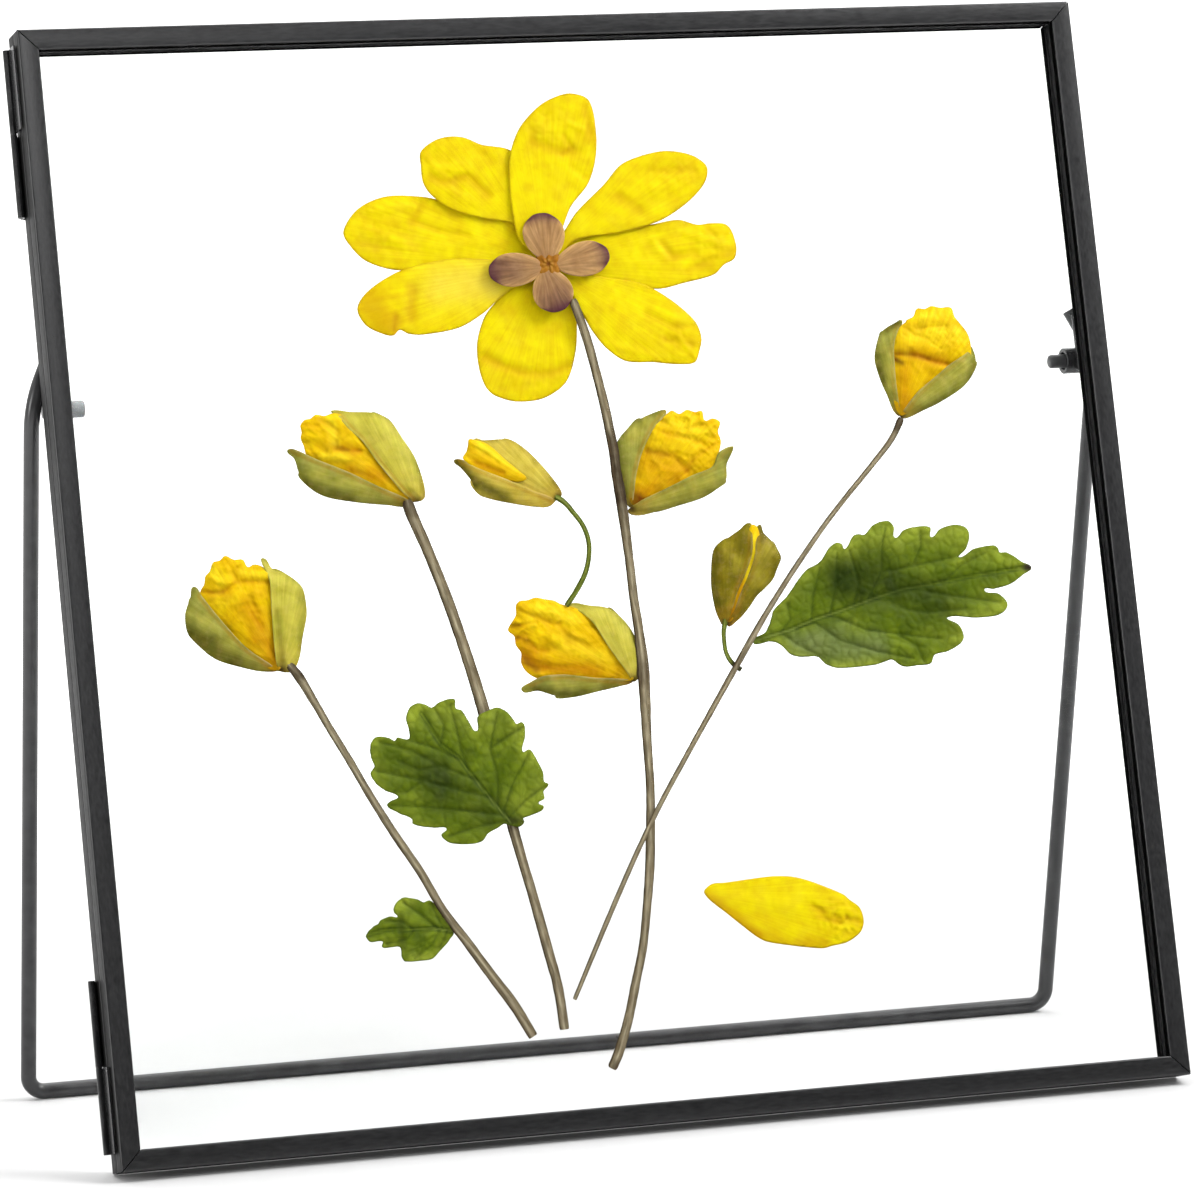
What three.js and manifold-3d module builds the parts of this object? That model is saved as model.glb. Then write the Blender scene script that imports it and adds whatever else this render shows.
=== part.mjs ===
// A hinged double-glass frame on a bent-wire stand, with pressed flowers between its two panes.
// Millimetres. +Z up, the frame faces -Y, and the whole thing stands on z = 0.
import * as THREE from 'three';
import { mergeVertices } from 'three/addons/utils/BufferGeometryUtils.js';
import Module from 'manifold-3d';

const wasm = await Module();
wasm.setup();

// Driving dimensions of the frame. Depths are counted from the front face of the front rails.
const SIDE = 210;
const RAIL_FACE = 3.9;
const HALF_DEPTH = 3.55;
const SEAM = 0.3;
const DEPTH = 2 * HALF_DEPTH + SEAM;
const GROOVE = 2.2;
const MITRE_GAP = 0.2;
const FIT = 0.3;
const PANE = 1.2;
const FRONT_PANE = 0.9;
const BACK_PANE = DEPTH - FRONT_PANE - PANE;

// How it stands: the frame leans back on its lower back edge and on the foot of the wire.
const LEAN = THREE.MathUtils.degToRad(16);
const FOOT_BACK = 64.3;
const WIRE_R = 1.5;
const BEND_R = 2.6;
const FOOT_HALF = 105;

// The stand turns on two short pins that run in brackets on the back of the side rails.
const PIVOT_HEIGHT = 140.6;
const PIVOT_DEPTH = 10.9;
const PIVOT_HALF = 106.2;
const PIN_R = 1.35;
const PIN_TIP = 96.6;
const BRACKET_BORE = 1.7;
const BRACKET_R = 2.5;
const BRACKET_FOOT = 0.9;
const KNEE_RISE = 1.2;
const TAIL_RISE = 10;
const TAIL_IN = 4.2;

// Two barrel hinges on the left side, each half a wrapped leaf and half a bare knuckle.
const HINGE_PART = 15.6;
const HINGE_GAP = 0.3;
const KNUCKLE_R = 0.65;
const KNUCKLE_BORE = 0.42;
const HINGE_PIN_R = 0.2;
const HINGE_DEPTH = 6;
const HINGE_OUT = 0.95;
const LEAF = 0.3;
const UPPER_HINGE = 175.9;
const LOWER_HINGE = 3.6;

// The pressed pieces lie in four sheets, one behind the other, in the space between the panes.
const SHEET = 0.4;
const SHEET_STEP = 0.7;
const FIRST_SHEET = FRONT_PANE + PANE + 0.35;

const blackMetal = (name) => finish(name, 0x1c1c1d, 0.42, 0.7);
const clearGlass = (name) => finish(name, 0xe8f2ee, 0.03, 0);
const yellowPetal = (name) => finish(name, 0xf7d416, 0.7, 0);
const greenLeaf = (name) => finish(name, 0x4f7a2e, 0.75, 0);
const dryStem = (name) => finish(name, 0x9a8a66, 0.8, 0);

function finish(name, color, roughness, metalness) {
  return new THREE.MeshStandardMaterial({ name, color, roughness, metalness });
}

function piece(name, geometry, material) {
  const mesh = new THREE.Mesh(geometry, material);
  mesh.name = name;
  return mesh;
}

// ---- joining and cutting ----

function toSolid(geometry) {
  const bare = geometry.clone();
  bare.deleteAttribute('normal');
  bare.deleteAttribute('uv');
  const merged = mergeVertices(bare, 1e-4);
  const vertProperties = new Float32Array(merged.attributes.position.array);
  const triVerts = new Uint32Array(merged.index.array);
  return new wasm.Manifold(new wasm.Mesh({ numProp: 3, vertProperties, triVerts }));
}

function toGeometry(solid) {
  const mesh = solid.getMesh();
  const geometry = new THREE.BufferGeometry();
  geometry.setAttribute('position', new THREE.BufferAttribute(new Float32Array(mesh.vertProperties), 3));
  geometry.setIndex(new THREE.BufferAttribute(new Uint32Array(mesh.triVerts), 1));
  geometry.computeVertexNormals();
  return geometry;
}

function block(low, high) {
  const size = high.map((value, i) => value - low[i]);
  const middle = high.map((value, i) => (value + low[i]) / 2);
  return new THREE.BoxGeometry(...size).translate(...middle);
}

// A round bar along X, between two places, its axis at a depth and a height.
function barAlongX(radius, from, to, depth, height, sides = 16) {
  const bar = new THREE.CylinderGeometry(radius, radius, to - from, sides).rotateZ(Math.PI / 2);
  return bar.translate((from + to) / 2, depth, height);
}

// A round bar along Z, between two heights, its axis at a place and a depth.
function barAlongZ(radius, x, depth, from, to, sides = 16) {
  const bar = new THREE.CylinderGeometry(radius, radius, to - from, sides).rotateX(Math.PI / 2);
  return bar.translate(x, depth, (from + to) / 2);
}

// ---- the two rail frames ----

// The rail's section, as distance in from the frame's outer edge and depth behind its face.
// A groove in the inner side takes the edge of the pane.
function railSection(paneDepth) {
  const grooveFloor = RAIL_FACE - GROOVE;
  return [
    [0, 0],
    [RAIL_FACE, 0],
    [RAIL_FACE, paneDepth - FIT],
    [grooveFloor, paneDepth - FIT],
    [grooveFloor, paneDepth + PANE + FIT],
    [RAIL_FACE, paneDepth + PANE + FIT],
    [RAIL_FACE, HALF_DEPTH],
    [0, HALF_DEPTH],
  ];
}

// One rail laid along X with its outer edge at z = 0 and both ends mitred at 45 degrees.
function mitredRail(section) {
  const shape = new THREE.Shape(section.map(([inward, depth]) => new THREE.Vector2(inward, depth)));
  const bar = new THREE.ExtrudeGeometry(shape, { depth: SIDE, steps: 1, bevelEnabled: false });
  const corner = bar.attributes.position;
  for (let i = 0; i < corner.count; i += 1) {
    const inward = corner.getX(i);
    const depth = corner.getY(i);
    const end = corner.getZ(i) > SIDE / 2 ? -1 : 1;
    corner.setXYZ(i, end * (SIDE / 2 - inward - MITRE_GAP), depth, inward);
  }
  bar.computeVertexNormals();
  return bar;
}

function railFrame(prefix, paneDepth, startDepth) {
  const half = new THREE.Group();
  const places = ['bottom', 'right', 'top', 'left'];
  places.forEach((place, quarter) => {
    const name = `${prefix}_${place}_rail`;
    const rail = piece(name, mitredRail(railSection(paneDepth)), blackMetal(name));
    rail.geometry.translate(0, startDepth, -SIDE / 2);
    rail.rotation.y = -quarter * (Math.PI / 2);
    rail.position.z = SIDE / 2;
    half.add(rail);
  });
  return half;
}

function pane(name, depth) {
  const edge = RAIL_FACE - GROOVE + FIT;
  const half = SIDE / 2 - edge;
  const sheet = block([-half, depth, edge], [half, depth + PANE, SIDE - edge]);
  return piece(name, sheet, clearGlass(name));
}

// ---- hinges ----

function knuckle(from, to) {
  const outside = toSolid(barAlongZ(KNUCKLE_R, -SIDE / 2 - HINGE_OUT, HINGE_DEPTH, from, to));
  const bore = toSolid(barAlongZ(KNUCKLE_BORE, -SIDE / 2 - HINGE_OUT, HINGE_DEPTH, from - 1, to + 1));
  return { outside, bore };
}

// The front leaf lies flat on the side of the front rail and rolls round the pin.
function frontLeaf(name, from, to) {
  const { outside, bore } = knuckle(from, to);
  const side = -SIDE / 2 - FIT;
  const plate = toSolid(block([side - LEAF, 1.6, from], [side, HINGE_DEPTH, to]));
  return piece(name, toGeometry(outside.add(plate).subtract(bore)), blackMetal(name));
}

// The back leaf rolls round the pin and wraps behind the back rail.
function backLeaf(name, from, to) {
  const { outside, bore } = knuckle(from, to);
  const side = -SIDE / 2 - FIT;
  const back = DEPTH + FIT;
  const cheek = toSolid(block([side - LEAF, HINGE_DEPTH, from], [side, back + LEAF, to]));
  const wrap = toSolid(block([side - LEAF, back, from], [side + FIT + 3.2, back + LEAF, to]));
  return piece(name, toGeometry(outside.add(cheek).add(wrap).subtract(bore)), blackMetal(name));
}

function hingePin(name, from, to) {
  const pin = barAlongZ(HINGE_PIN_R, -SIDE / 2 - HINGE_OUT, HINGE_DEPTH, from, to, 8);
  return piece(name, pin, blackMetal(name));
}

// ---- stand ----

// One bracket: a foot on the rail's back, which the wire's tail bears on, and a round eye.
function bracket(name, side) {
  const back = DEPTH + FIT;
  const top = PIVOT_HEIGHT + TAIL_RISE - 1.5;
  const foot = toSolid(block([101.3, back, PIVOT_HEIGHT - 2.5], [104.2, back + BRACKET_FOOT, top]));
  const web = toSolid(block([101.3, back, PIVOT_HEIGHT - 2.2], [103.4, PIVOT_DEPTH, PIVOT_HEIGHT + 2.2]));
  const eye = toSolid(barAlongX(BRACKET_R, 99.5, 103.4, PIVOT_DEPTH, PIVOT_HEIGHT));
  const bore = toSolid(barAlongX(BRACKET_BORE, 98, 106, PIVOT_DEPTH, PIVOT_HEIGHT));
  const right = foot.add(web).add(eye).subtract(bore);
  const geometry = toGeometry(side > 0 ? right : right.mirror([1, 0, 0]));
  return piece(name, geometry, blackMetal(name));
}

function pivotPin(name, side, tip, slim) {
  const outer = PIVOT_HALF - WIRE_R - 2 * FIT;
  let pin = toSolid(barAlongX(PIN_R, slim ? tip + 2.6 : tip, outer, PIVOT_DEPTH, PIVOT_HEIGHT));
  if (slim) {
    pin = pin.add(toSolid(barAlongX(0.9, tip, outer, PIVOT_DEPTH, PIVOT_HEIGHT)));
  }
  return piece(name, toGeometry(side > 0 ? pin : pin.mirror([1, 0, 0])), blackMetal(name));
}

// A soft sleeve pushed on the end of the left pin.
function pinCap(name) {
  const outside = toSolid(barAlongX(1.6, -98.4, -96, PIVOT_DEPTH, PIVOT_HEIGHT));
  const bore = toSolid(barAlongX(0.9 + 0.3, -99, -PIN_TIP + 0.3, PIVOT_DEPTH, PIVOT_HEIGHT));
  return piece(name, toGeometry(outside.subtract(bore)), finish(name, 0xdfe2e2, 0.35, 0));
}

function straightWire(from, to) {
  const run = new THREE.Vector3().subVectors(to, from);
  const bar = new THREE.CylinderGeometry(WIRE_R, WIRE_R, run.length(), 12);
  const turn = new THREE.Quaternion().setFromUnitVectors(new THREE.Vector3(0, 1, 0), run.normalize());
  const middle = new THREE.Vector3().addVectors(from, to).multiplyScalar(0.5);
  return toSolid(bar.applyQuaternion(turn).translate(middle.x, middle.y, middle.z));
}

function bentWire(start, corner, end) {
  const path = new THREE.QuadraticBezierCurve3(start, corner, end);
  const round = new THREE.Shape().absarc(0, 0, WIRE_R, 0, 2 * Math.PI);
  const bar = new THREE.ExtrudeGeometry(round, { extrudePath: path, steps: 6, curveSegments: 6 });
  return toSolid(bar);
}

// The wire runs tail, leg, foot, leg, tail, with its corners rounded.
function standWire(name, corners) {
  const trim = (a, b, length) => a.clone().add(b.clone().sub(a).setLength(length));
  let wire = null;
  const join = (solid) => {
    wire = wire ? wire.add(solid) : solid;
  };
  const last = corners.length - 1;
  for (let i = 0; i < last; i += 1) {
    const from = i === 0 ? corners[i] : trim(corners[i], corners[i + 1], BEND_R);
    const to = i + 1 === last ? corners[i + 1] : trim(corners[i + 1], corners[i], BEND_R);
    join(straightWire(from, to));
    if (i > 0) {
      const start = trim(corners[i], corners[i - 1], BEND_R + 0.05);
      const end = trim(corners[i], corners[i + 1], BEND_R + 0.05);
      join(bentWire(start, corners[i], end));
    }
  }
  return piece(name, toGeometry(wire), blackMetal(name));
}

// ---- pressed pieces, in the plane of the panes, from the frame's lower left corner ----

function flatPiece(name, outline, front, thickness, material) {
  const shape = new THREE.Shape(outline.map(([x, z]) => new THREE.Vector2(x, z)));
  const sheet = new THREE.ExtrudeGeometry(shape, { depth: thickness, steps: 1, bevelEnabled: false });
  sheet.rotateX(Math.PI / 2).translate(0, front + thickness, 0);
  return piece(name, sheet, material);
}

// A stem, as a strip of changing width along its own line.
function stem(name, line, widths, front, thickness, material) {
  const curve = new THREE.SplineCurve(line.map(([x, z]) => new THREE.Vector2(x, z)));
  const steps = 2 * line.length;
  const left = [];
  const right = [];
  for (let i = 0; i <= steps; i += 1) {
    const t = i / steps;
    const at = curve.getPoint(t);
    const along = curve.getTangent(t);
    const half = THREE.MathUtils.lerp(widths[0], widths[1], t) / 2;
    left.push([at.x - along.y * half, at.y + along.x * half]);
    right.unshift([at.x + along.y * half, at.y - along.x * half]);
  }
  return flatPiece(name, left.concat(right), front, thickness, material);
}

function oval(x, z, halfX, halfZ) {
  const points = new THREE.EllipseCurve(x, z, halfX, halfZ).getPoints(16).slice(0, 16);
  return points.map((point) => [point.x, point.y]);
}

const sheetDepth = (sheet) => FIRST_SHEET + sheet * SHEET_STEP;

function flowerHead() {
  const petals = {
    petal_top: [1, [[96, 168.6], [92.9, 177.3], [93.6, 183.7], [96, 189], [100.2, 193.1], [107.1, 195.4],
      [110.5, 194], [111.2, 187.9], [110.6, 182.6], [108.6, 177.9], [103.7, 172.8], [101.1, 169.7]]],
    petal_upper_right: [2, [[103.3, 169.6], [111.8, 177.8], [115.5, 181.4], [120.1, 183.1], [124.6, 183.6],
      [131.1, 182.2], [132.9, 180.2], [131.9, 177.1], [128, 173.5], [122, 170], [113.6, 168.2], [104.5, 167.4]]],
    petal_right: [3, [[105.3, 167.4], [112.9, 167.9], [120.3, 168.7], [125.9, 170.3], [135.8, 168.9],
      [137.1, 165.1], [136.5, 162.5], [132, 159.5], [125.7, 158.1], [112.5, 158.6], [106.6, 161]]],
    petal_lower_right: [2, [[104.2, 159], [105.3, 153.2], [106.5, 149.5], [109, 146.1], [112.5, 143.6],
      [118, 143.1], [126.2, 142.7], [128.1, 147.4], [127.1, 150.7], [122.6, 155.1], [116.9, 158.3], [107.6, 159.4]]],
    petal_bottom: [3, [[90, 157.5], [85.8, 154], [83.4, 148.4], [83.5, 141.5], [85.8, 138.3], [90, 136.9],
      [95.5, 137.3], [100.2, 140.2], [102.6, 145.9], [103.2, 151.7], [101.1, 154.4], [95.4, 156.7]]],
    petal_lower_left: [2, [[90.6, 158], [85.3, 154], [80.2, 151.4], [73, 150.4], [65.7, 150.7], [62.1, 152.7],
      [60.8, 156.1], [63.8, 159.6], [70.6, 163], [79.9, 164.5], [90, 163]]],
    petal_left: [3, [[94, 164.7], [86.4, 164.7], [69.1, 163.1], [63.3, 164.9], [60.4, 168.1], [59.5, 170.7],
      [62.7, 174.8], [68.3, 177], [75.7, 176.7], [81.4, 173.6], [93.6, 170.6]]],
    petal_upper_left: [2, [[93.3, 170.6], [87.2, 172.1], [81.4, 173.9], [77.4, 176.9], [76, 179.1],
      [76.2, 185.4], [80.2, 187.6], [84, 187.9], [88.1, 186.3], [93.3, 184.5], [93, 175.8]]],
  };
  const pods = {
    pod_top: [0, oval(98.8, 168.5, 4.2, 3.9)],
    pod_right: [1, oval(106.3, 163.2, 4.6, 3.2)],
    pod_bottom: [0, oval(99.9, 157.5, 3.9, 3.8)],
    pod_left: [1, oval(92.5, 161.9, 4.8, 3.2)],
  };
  const head = new THREE.Group();
  for (const [name, [sheet, outline]] of Object.entries(petals)) {
    head.add(flatPiece(name, outline, sheetDepth(sheet), SHEET, yellowPetal(name)));
  }
  for (const [name, [sheet, outline]] of Object.entries(pods)) {
    head.add(flatPiece(name, outline, sheetDepth(sheet), SHEET, finish(name, 0x8d7464, 0.8, 0)));
  }
  const heart = oval(99.2, 162.9, 0.9, 0.9);
  head.add(flatPiece('flower_heart', heart, sheetDepth(0), SHEET, finish('flower_heart', 0x9a5a1e, 0.8, 0)));
  return head;
}

function stems() {
  const group = new THREE.Group();
  const main = [[103.2, 155.7], [105.6, 146.1], [107.5, 132.5], [108.6, 122], [108.9, 107], [109.9, 94.2],
    [110.1, 84.7], [108.7, 63.3], [107, 49.1], [103.6, 32.1], [98.8, 17], [95.6, 11]];
  const thin = [[166.4, 129.4], [164.7, 126.8], [153.7, 115.7], [143.2, 104], [136.4, 95.5], [128, 84.2],
    [109.4, 58.7], [100.4, 43.2], [89.7, 24.4]];
  const middle = [[67.5, 117.5], [69.6, 110.7], [72.7, 100.2], [75.5, 88.8], [77.6, 79.2], [80.9, 57.5],
    [83.3, 45.2], [85.2, 33.9], [87, 19]];
  const left = [[41.9, 88], [45.2, 82.8], [51.5, 70.2], [58.2, 57.2], [62.2, 50.3], [66, 42.6], [70.7, 35.3],
    [77.9, 24], [80.8, 18.2]];
  const curl = [[96.9, 117.6], [98.8, 115.5], [100.6, 112.7], [101.4, 109.5], [101.1, 106.6], [100.1, 103.7],
    [98.2, 100.6]];
  const short = [[126.6, 91.8], [126.2, 89.5], [126.4, 86.8], [127.5, 84.8], [129, 83.6]];
  const green = (name) => finish(name, 0x6f8a3a, 0.75, 0);
  group.add(stem('main_stem', main, [1.7, 2], sheetDepth(1), 0.6, dryStem('main_stem')));
  group.add(stem('thin_stem', thin, [1.2, 1.1], sheetDepth(0), SHEET, dryStem('thin_stem')));
  group.add(stem('middle_stem', middle, [1.9, 2], sheetDepth(1), 0.8, dryStem('middle_stem')));
  group.add(stem('left_stem', left, [1.5, 1.9], sheetDepth(1), 0.8, dryStem('left_stem')));
  group.add(stem('curled_stalk', curl, [1.1, 1.1], sheetDepth(1), 0.8, green('curled_stalk')));
  group.add(stem('short_stalk', short, [1.1, 0.9], sheetDepth(1), SHEET, green('short_stalk')));
  return group;
}

function leaves() {
  const outlines = {
    right_leaf: [1, [[133.6, 88.8], [136.5, 91.2], [139.6, 96.9], [147.1, 103.2], [155.6, 108.1], [161.8, 110.3],
      [170.3, 108.6], [177.7, 108.1], [178.8, 103.9], [184, 103], [190.2, 99.7], [182.4, 96], [184.5, 92.6],
      [181.4, 90.7], [174, 89.5], [174.8, 87.3], [171.1, 84.5], [164.8, 82.2], [155.7, 82.8], [148.5, 82.7],
      [141, 85.3], [136.5, 88.3]]],
    left_leaf: [0, [[79.8, 58], [76.1, 56.4], [72.5, 54.6], [67.2, 56.1], [61.7, 59.2], [57.2, 62.8], [57.1, 65.6],
      [54.6, 69], [55.1, 74.2], [57.1, 75.7], [62.6, 74.9], [62.4, 78.7], [64.9, 81.4], [72.1, 81.7], [75.8, 75.5],
      [78.3, 79.1], [83.3, 76.9], [85.1, 73.9], [86.1, 71], [88.7, 64.6], [87.3, 60.7], [83.1, 58.6]]],
    small_leaf: [1, [[67.3, 38.1], [64.8, 35.7], [60.9, 33.8], [57.7, 33.9], [56.9, 36.6], [51.4, 38], [51.1, 39.8],
      [54.7, 42.2], [56.4, 43.7], [59.8, 45.5], [63.5, 44.8], [65, 41.6]]],
  };
  const group = new THREE.Group();
  for (const [name, [sheet, outline]] of Object.entries(outlines)) {
    group.add(flatPiece(name, outline, sheetDepth(sheet), SHEET, greenLeaf(name)));
  }
  return group;
}

// Each bud is one grown thing: crumpled petals between two sepals that meet at the stalk.
function buds() {
  const outlines = {
    bud_upper_left: [2, [[44.6, 129.8], [47.7, 133.1], [50.8, 136.2], [57.5, 136.5], [63.6, 135.5], [67, 131.1],
      [69.9, 124.4], [70.2, 119.6], [67.4, 118.4], [56.9, 119.5], [51, 120.9], [47.7, 123.2]]],
    bud_small: [1.4, [[77, 126.2], [78.8, 128], [80, 130], [88.5, 129.5], [94.2, 123.9], [97, 118.7],
      [94.4, 116.8], [86.5, 117.8], [80.7, 119.8]]],
    bud_middle: [1.8, [[110.6, 129.8], [114.3, 132.5], [119.4, 133.6], [126.8, 132.7], [129.9, 130.8],
      [130.5, 126.1], [130.5, 122.9], [128.1, 118.3], [119.6, 115.4], [110.7, 114.8]]],
    bud_low: [2, [[84, 93.7], [86.1, 98.8], [96.5, 98.2], [103.7, 96.9], [108.3, 92], [108.6, 85], [104.7, 82.2],
      [94.9, 80.6], [88.6, 82.4], [85.3, 83.5], [85.4, 88.5]]],
    bud_left: [2, [[24, 105.3], [28.7, 109.8], [34.3, 109.9], [42.4, 106.7], [45.4, 101.6], [44.1, 94.8],
      [41.4, 88.8], [32, 90.1], [23.8, 95.1], [22.3, 100.3]]],
    bud_right: [1.8, [[168, 147.6], [171.8, 150.6], [179.7, 150.7], [182.4, 145.7], [183.6, 140.4],
      [180.3, 135.4], [171.5, 131.2], [166.8, 130.4], [164.6, 134.4], [162.8, 141.1], [165, 147.1]]],
    bud_closed: [1.6, [[134.6, 111.2], [137.7, 107.7], [139.3, 104.4], [137.3, 100.4], [133.7, 97.5], [129.5, 93.2],
      [126.6, 92.2], [125, 96.1], [124.8, 99.9], [125.9, 106.4], [131.4, 110.1]]],
  };
  const group = new THREE.Group();
  for (const [name, [thickness, outline]] of Object.entries(outlines)) {
    group.add(flatPiece(name, outline, sheetDepth(0), thickness, finish(name, 0xb9b02e, 0.75, 0)));
  }
  return group;
}

function loosePetal() {
  const outline = [[117, 42.1], [118.6, 43.7], [126.2, 44], [134.4, 43.9], [140.2, 42], [145.7, 38.8],
    [148.1, 35.7], [147.2, 32.4], [141.2, 30.3], [133.2, 31], [126.6, 33.1], [121.4, 37.7]];
  return flatPiece('loose_petal', outline, sheetDepth(1), SHEET, yellowPetal('loose_petal'));
}

// ---- assembly ----

function hinges() {
  const group = new THREE.Group();
  const middleUpper = UPPER_HINGE + HINGE_PART + HINGE_GAP;
  const middleLower = LOWER_HINGE + HINGE_PART + HINGE_GAP;
  const topUpper = middleUpper + HINGE_PART;
  const topLower = middleLower + HINGE_PART;
  group.add(backLeaf('upper_hinge_back_leaf', UPPER_HINGE, middleUpper - HINGE_GAP));
  group.add(frontLeaf('upper_hinge_front_leaf', middleUpper, topUpper));
  group.add(hingePin('upper_hinge_pin', UPPER_HINGE + 0.5, topUpper - 0.5));
  group.add(frontLeaf('lower_hinge_front_leaf', LOWER_HINGE, middleLower - HINGE_GAP));
  group.add(backLeaf('lower_hinge_back_leaf', middleLower, topLower));
  group.add(hingePin('lower_hinge_pin', LOWER_HINGE + 0.5, topLower - 0.5));
  return group;
}

// The foot is set on the ground, so its place in the leaning frame is worked back from there.
function footInFrame() {
  const back = FOOT_BACK;
  const up = WIRE_R;
  const depth = DEPTH + back * Math.cos(LEAN) - up * Math.sin(LEAN);
  const height = back * Math.sin(LEAN) + up * Math.cos(LEAN);
  return { depth, height };
}

function stand() {
  const foot = footInFrame();
  const slope = (foot.depth - PIVOT_DEPTH) / (PIVOT_HEIGHT - foot.height);
  const kneeDepth = PIVOT_DEPTH - KNEE_RISE * slope;
  const corner = (x, depth, height) => new THREE.Vector3(x, depth, height);
  const corners = [
    corner(-PIVOT_HALF + TAIL_IN, kneeDepth + 0.2, PIVOT_HEIGHT + TAIL_RISE),
    corner(-PIVOT_HALF, kneeDepth, PIVOT_HEIGHT + KNEE_RISE),
    corner(-FOOT_HALF, foot.depth, foot.height),
    corner(FOOT_HALF, foot.depth, foot.height),
    corner(PIVOT_HALF, kneeDepth, PIVOT_HEIGHT + KNEE_RISE),
    corner(PIVOT_HALF - TAIL_IN, kneeDepth + 0.2, PIVOT_HEIGHT + TAIL_RISE),
  ];
  const group = new THREE.Group();
  group.add(standWire('stand_wire', corners));
  group.add(pivotPin('left_pivot_pin', -1, PIN_TIP, true));
  group.add(pivotPin('right_pivot_pin', 1, PIN_TIP, false));
  group.add(pinCap('left_pin_cap'));
  return group;
}

const specimens = new THREE.Group();
specimens.add(flowerHead(), stems(), leaves(), buds(), loosePetal());
specimens.position.x = -SIDE / 2;

const leaning = new THREE.Group();
leaning.add(railFrame('front', FRONT_PANE, 0));
leaning.add(railFrame('back', BACK_PANE - HALF_DEPTH - SEAM, HALF_DEPTH + SEAM));
leaning.add(pane('front_glass', FRONT_PANE), pane('back_glass', BACK_PANE));
leaning.add(hinges());
leaning.add(bracket('left_pivot_bracket', -1), bracket('right_pivot_bracket', 1));
leaning.add(stand());
leaning.add(specimens);
leaning.rotation.x = -LEAN;

// The lower back edge stands on the ground, and the footprint is centred on the origin.
const restEdge = (DEPTH * Math.cos(LEAN) - FOOT_BACK - WIRE_R) / 2;
leaning.position.set(0, restEdge - DEPTH * Math.cos(LEAN), DEPTH * Math.sin(LEAN));

const frame = new THREE.Group();
frame.add(leaning);

export default frame;
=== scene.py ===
import math

import bmesh
import bpy
import numpy as np
from mathutils import Matrix, Vector, geometry, noise


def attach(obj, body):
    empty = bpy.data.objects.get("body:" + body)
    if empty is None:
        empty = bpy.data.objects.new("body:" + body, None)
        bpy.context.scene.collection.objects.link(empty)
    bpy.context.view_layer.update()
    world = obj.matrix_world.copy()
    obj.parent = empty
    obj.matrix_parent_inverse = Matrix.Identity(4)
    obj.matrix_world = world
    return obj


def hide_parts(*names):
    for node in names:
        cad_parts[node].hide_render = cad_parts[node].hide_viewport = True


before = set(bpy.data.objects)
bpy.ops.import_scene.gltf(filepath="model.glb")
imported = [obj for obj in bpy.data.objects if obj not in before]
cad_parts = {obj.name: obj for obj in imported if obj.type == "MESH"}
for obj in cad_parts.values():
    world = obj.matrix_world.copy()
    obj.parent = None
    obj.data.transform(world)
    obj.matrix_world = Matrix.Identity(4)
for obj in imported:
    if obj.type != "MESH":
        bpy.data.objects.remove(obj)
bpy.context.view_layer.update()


# ---- Camera and studio ----
# The frame stands on a white table in a white studio. A long lens looks at it from its
# front left and a little from above. Soft boxes stand round it, and the ceiling behind glows.
camera = bpy.data.objects.new("camera", bpy.data.cameras.new("camera"))
camera.location = (-0.35284, -1.02569, 0.25049)
camera.rotation_euler = [math.radians(angle) for angle in (81.830, 0.710, -19.046)]
camera.data.sensor_fit = "HORIZONTAL"
camera.data.sensor_width = 36.0
camera.data.lens = 174.67
camera.data.clip_start = 0.05
bpy.context.scene.collection.objects.link(camera)
bpy.context.scene.camera = camera
bpy.context.scene.view_settings.view_transform = "Standard"
bpy.context.scene.view_settings.look = "None"


def nodes_of(holder):
    """Empties a material's or world's node tree and returns its nodes and its link call."""
    holder.use_nodes = True
    holder.node_tree.nodes.clear()
    return holder.node_tree.nodes, holder.node_tree.links.new


def studio_world():
    """White behind the frame and dimmer in front of it, so the panes reflect little."""
    world = bpy.data.worlds.new("white studio")
    nodes, link = nodes_of(world)
    place = nodes.new("ShaderNodeTexCoord")
    parts = nodes.new("ShaderNodeSeparateXYZ")
    depth = nodes.new("ShaderNodeMapRange")
    depth.interpolation_type = "SMOOTHSTEP"
    for socket, value in (("From Min", -0.3), ("From Max", 0.3), ("To Min", 0.012), ("To Max", 1.05)):
        depth.inputs[socket].default_value = value
    sky = nodes.new("ShaderNodeBackground")
    out = nodes.new("ShaderNodeOutputWorld")
    link(place.outputs["Generated"], parts.inputs[0])
    link(parts.outputs["Y"], depth.inputs["Value"])
    link(depth.outputs[0], sky.inputs["Strength"])
    link(sky.outputs[0], out.inputs["Surface"])
    bpy.context.scene.world = world


def soft_box(name, turn, height, away, size, watts):
    """A square soft box, turned from straight in front towards the left, aimed at the frame."""
    turn, height = math.radians(turn), math.radians(height)
    aim = Vector((0.0, 0.0, 0.1))
    side = Vector((-math.sin(turn) * math.cos(height), -math.cos(turn) * math.cos(height),
                   math.sin(height)))
    lamp = bpy.data.objects.new(name, bpy.data.lights.new(name, "AREA"))
    lamp.data.shape = "SQUARE"
    lamp.data.size = size
    lamp.data.energy = watts
    lamp.location = aim + side * away
    lamp.rotation_euler = side.to_track_quat("Z", "Y").to_euler()
    bpy.context.scene.collection.objects.link(lamp)


studio_world()
soft_box("right_soft_box", -68, 42, 1.5, 0.6, 24)
soft_box("left_soft_box", 74, 14, 1.7, 0.5, 10)
soft_box("front_soft_box", 2, 38, 1.6, 0.35, 4.5)
ceiling = bpy.data.objects.new("ceiling_light", bpy.data.lights.new("ceiling_light", "SUN"))
ceiling.data.energy = 2.6
ceiling.data.angle = math.radians(90)
ceiling.rotation_euler = (math.radians(-22), 0, math.radians(-10))
bpy.context.scene.collection.objects.link(ceiling)

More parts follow.
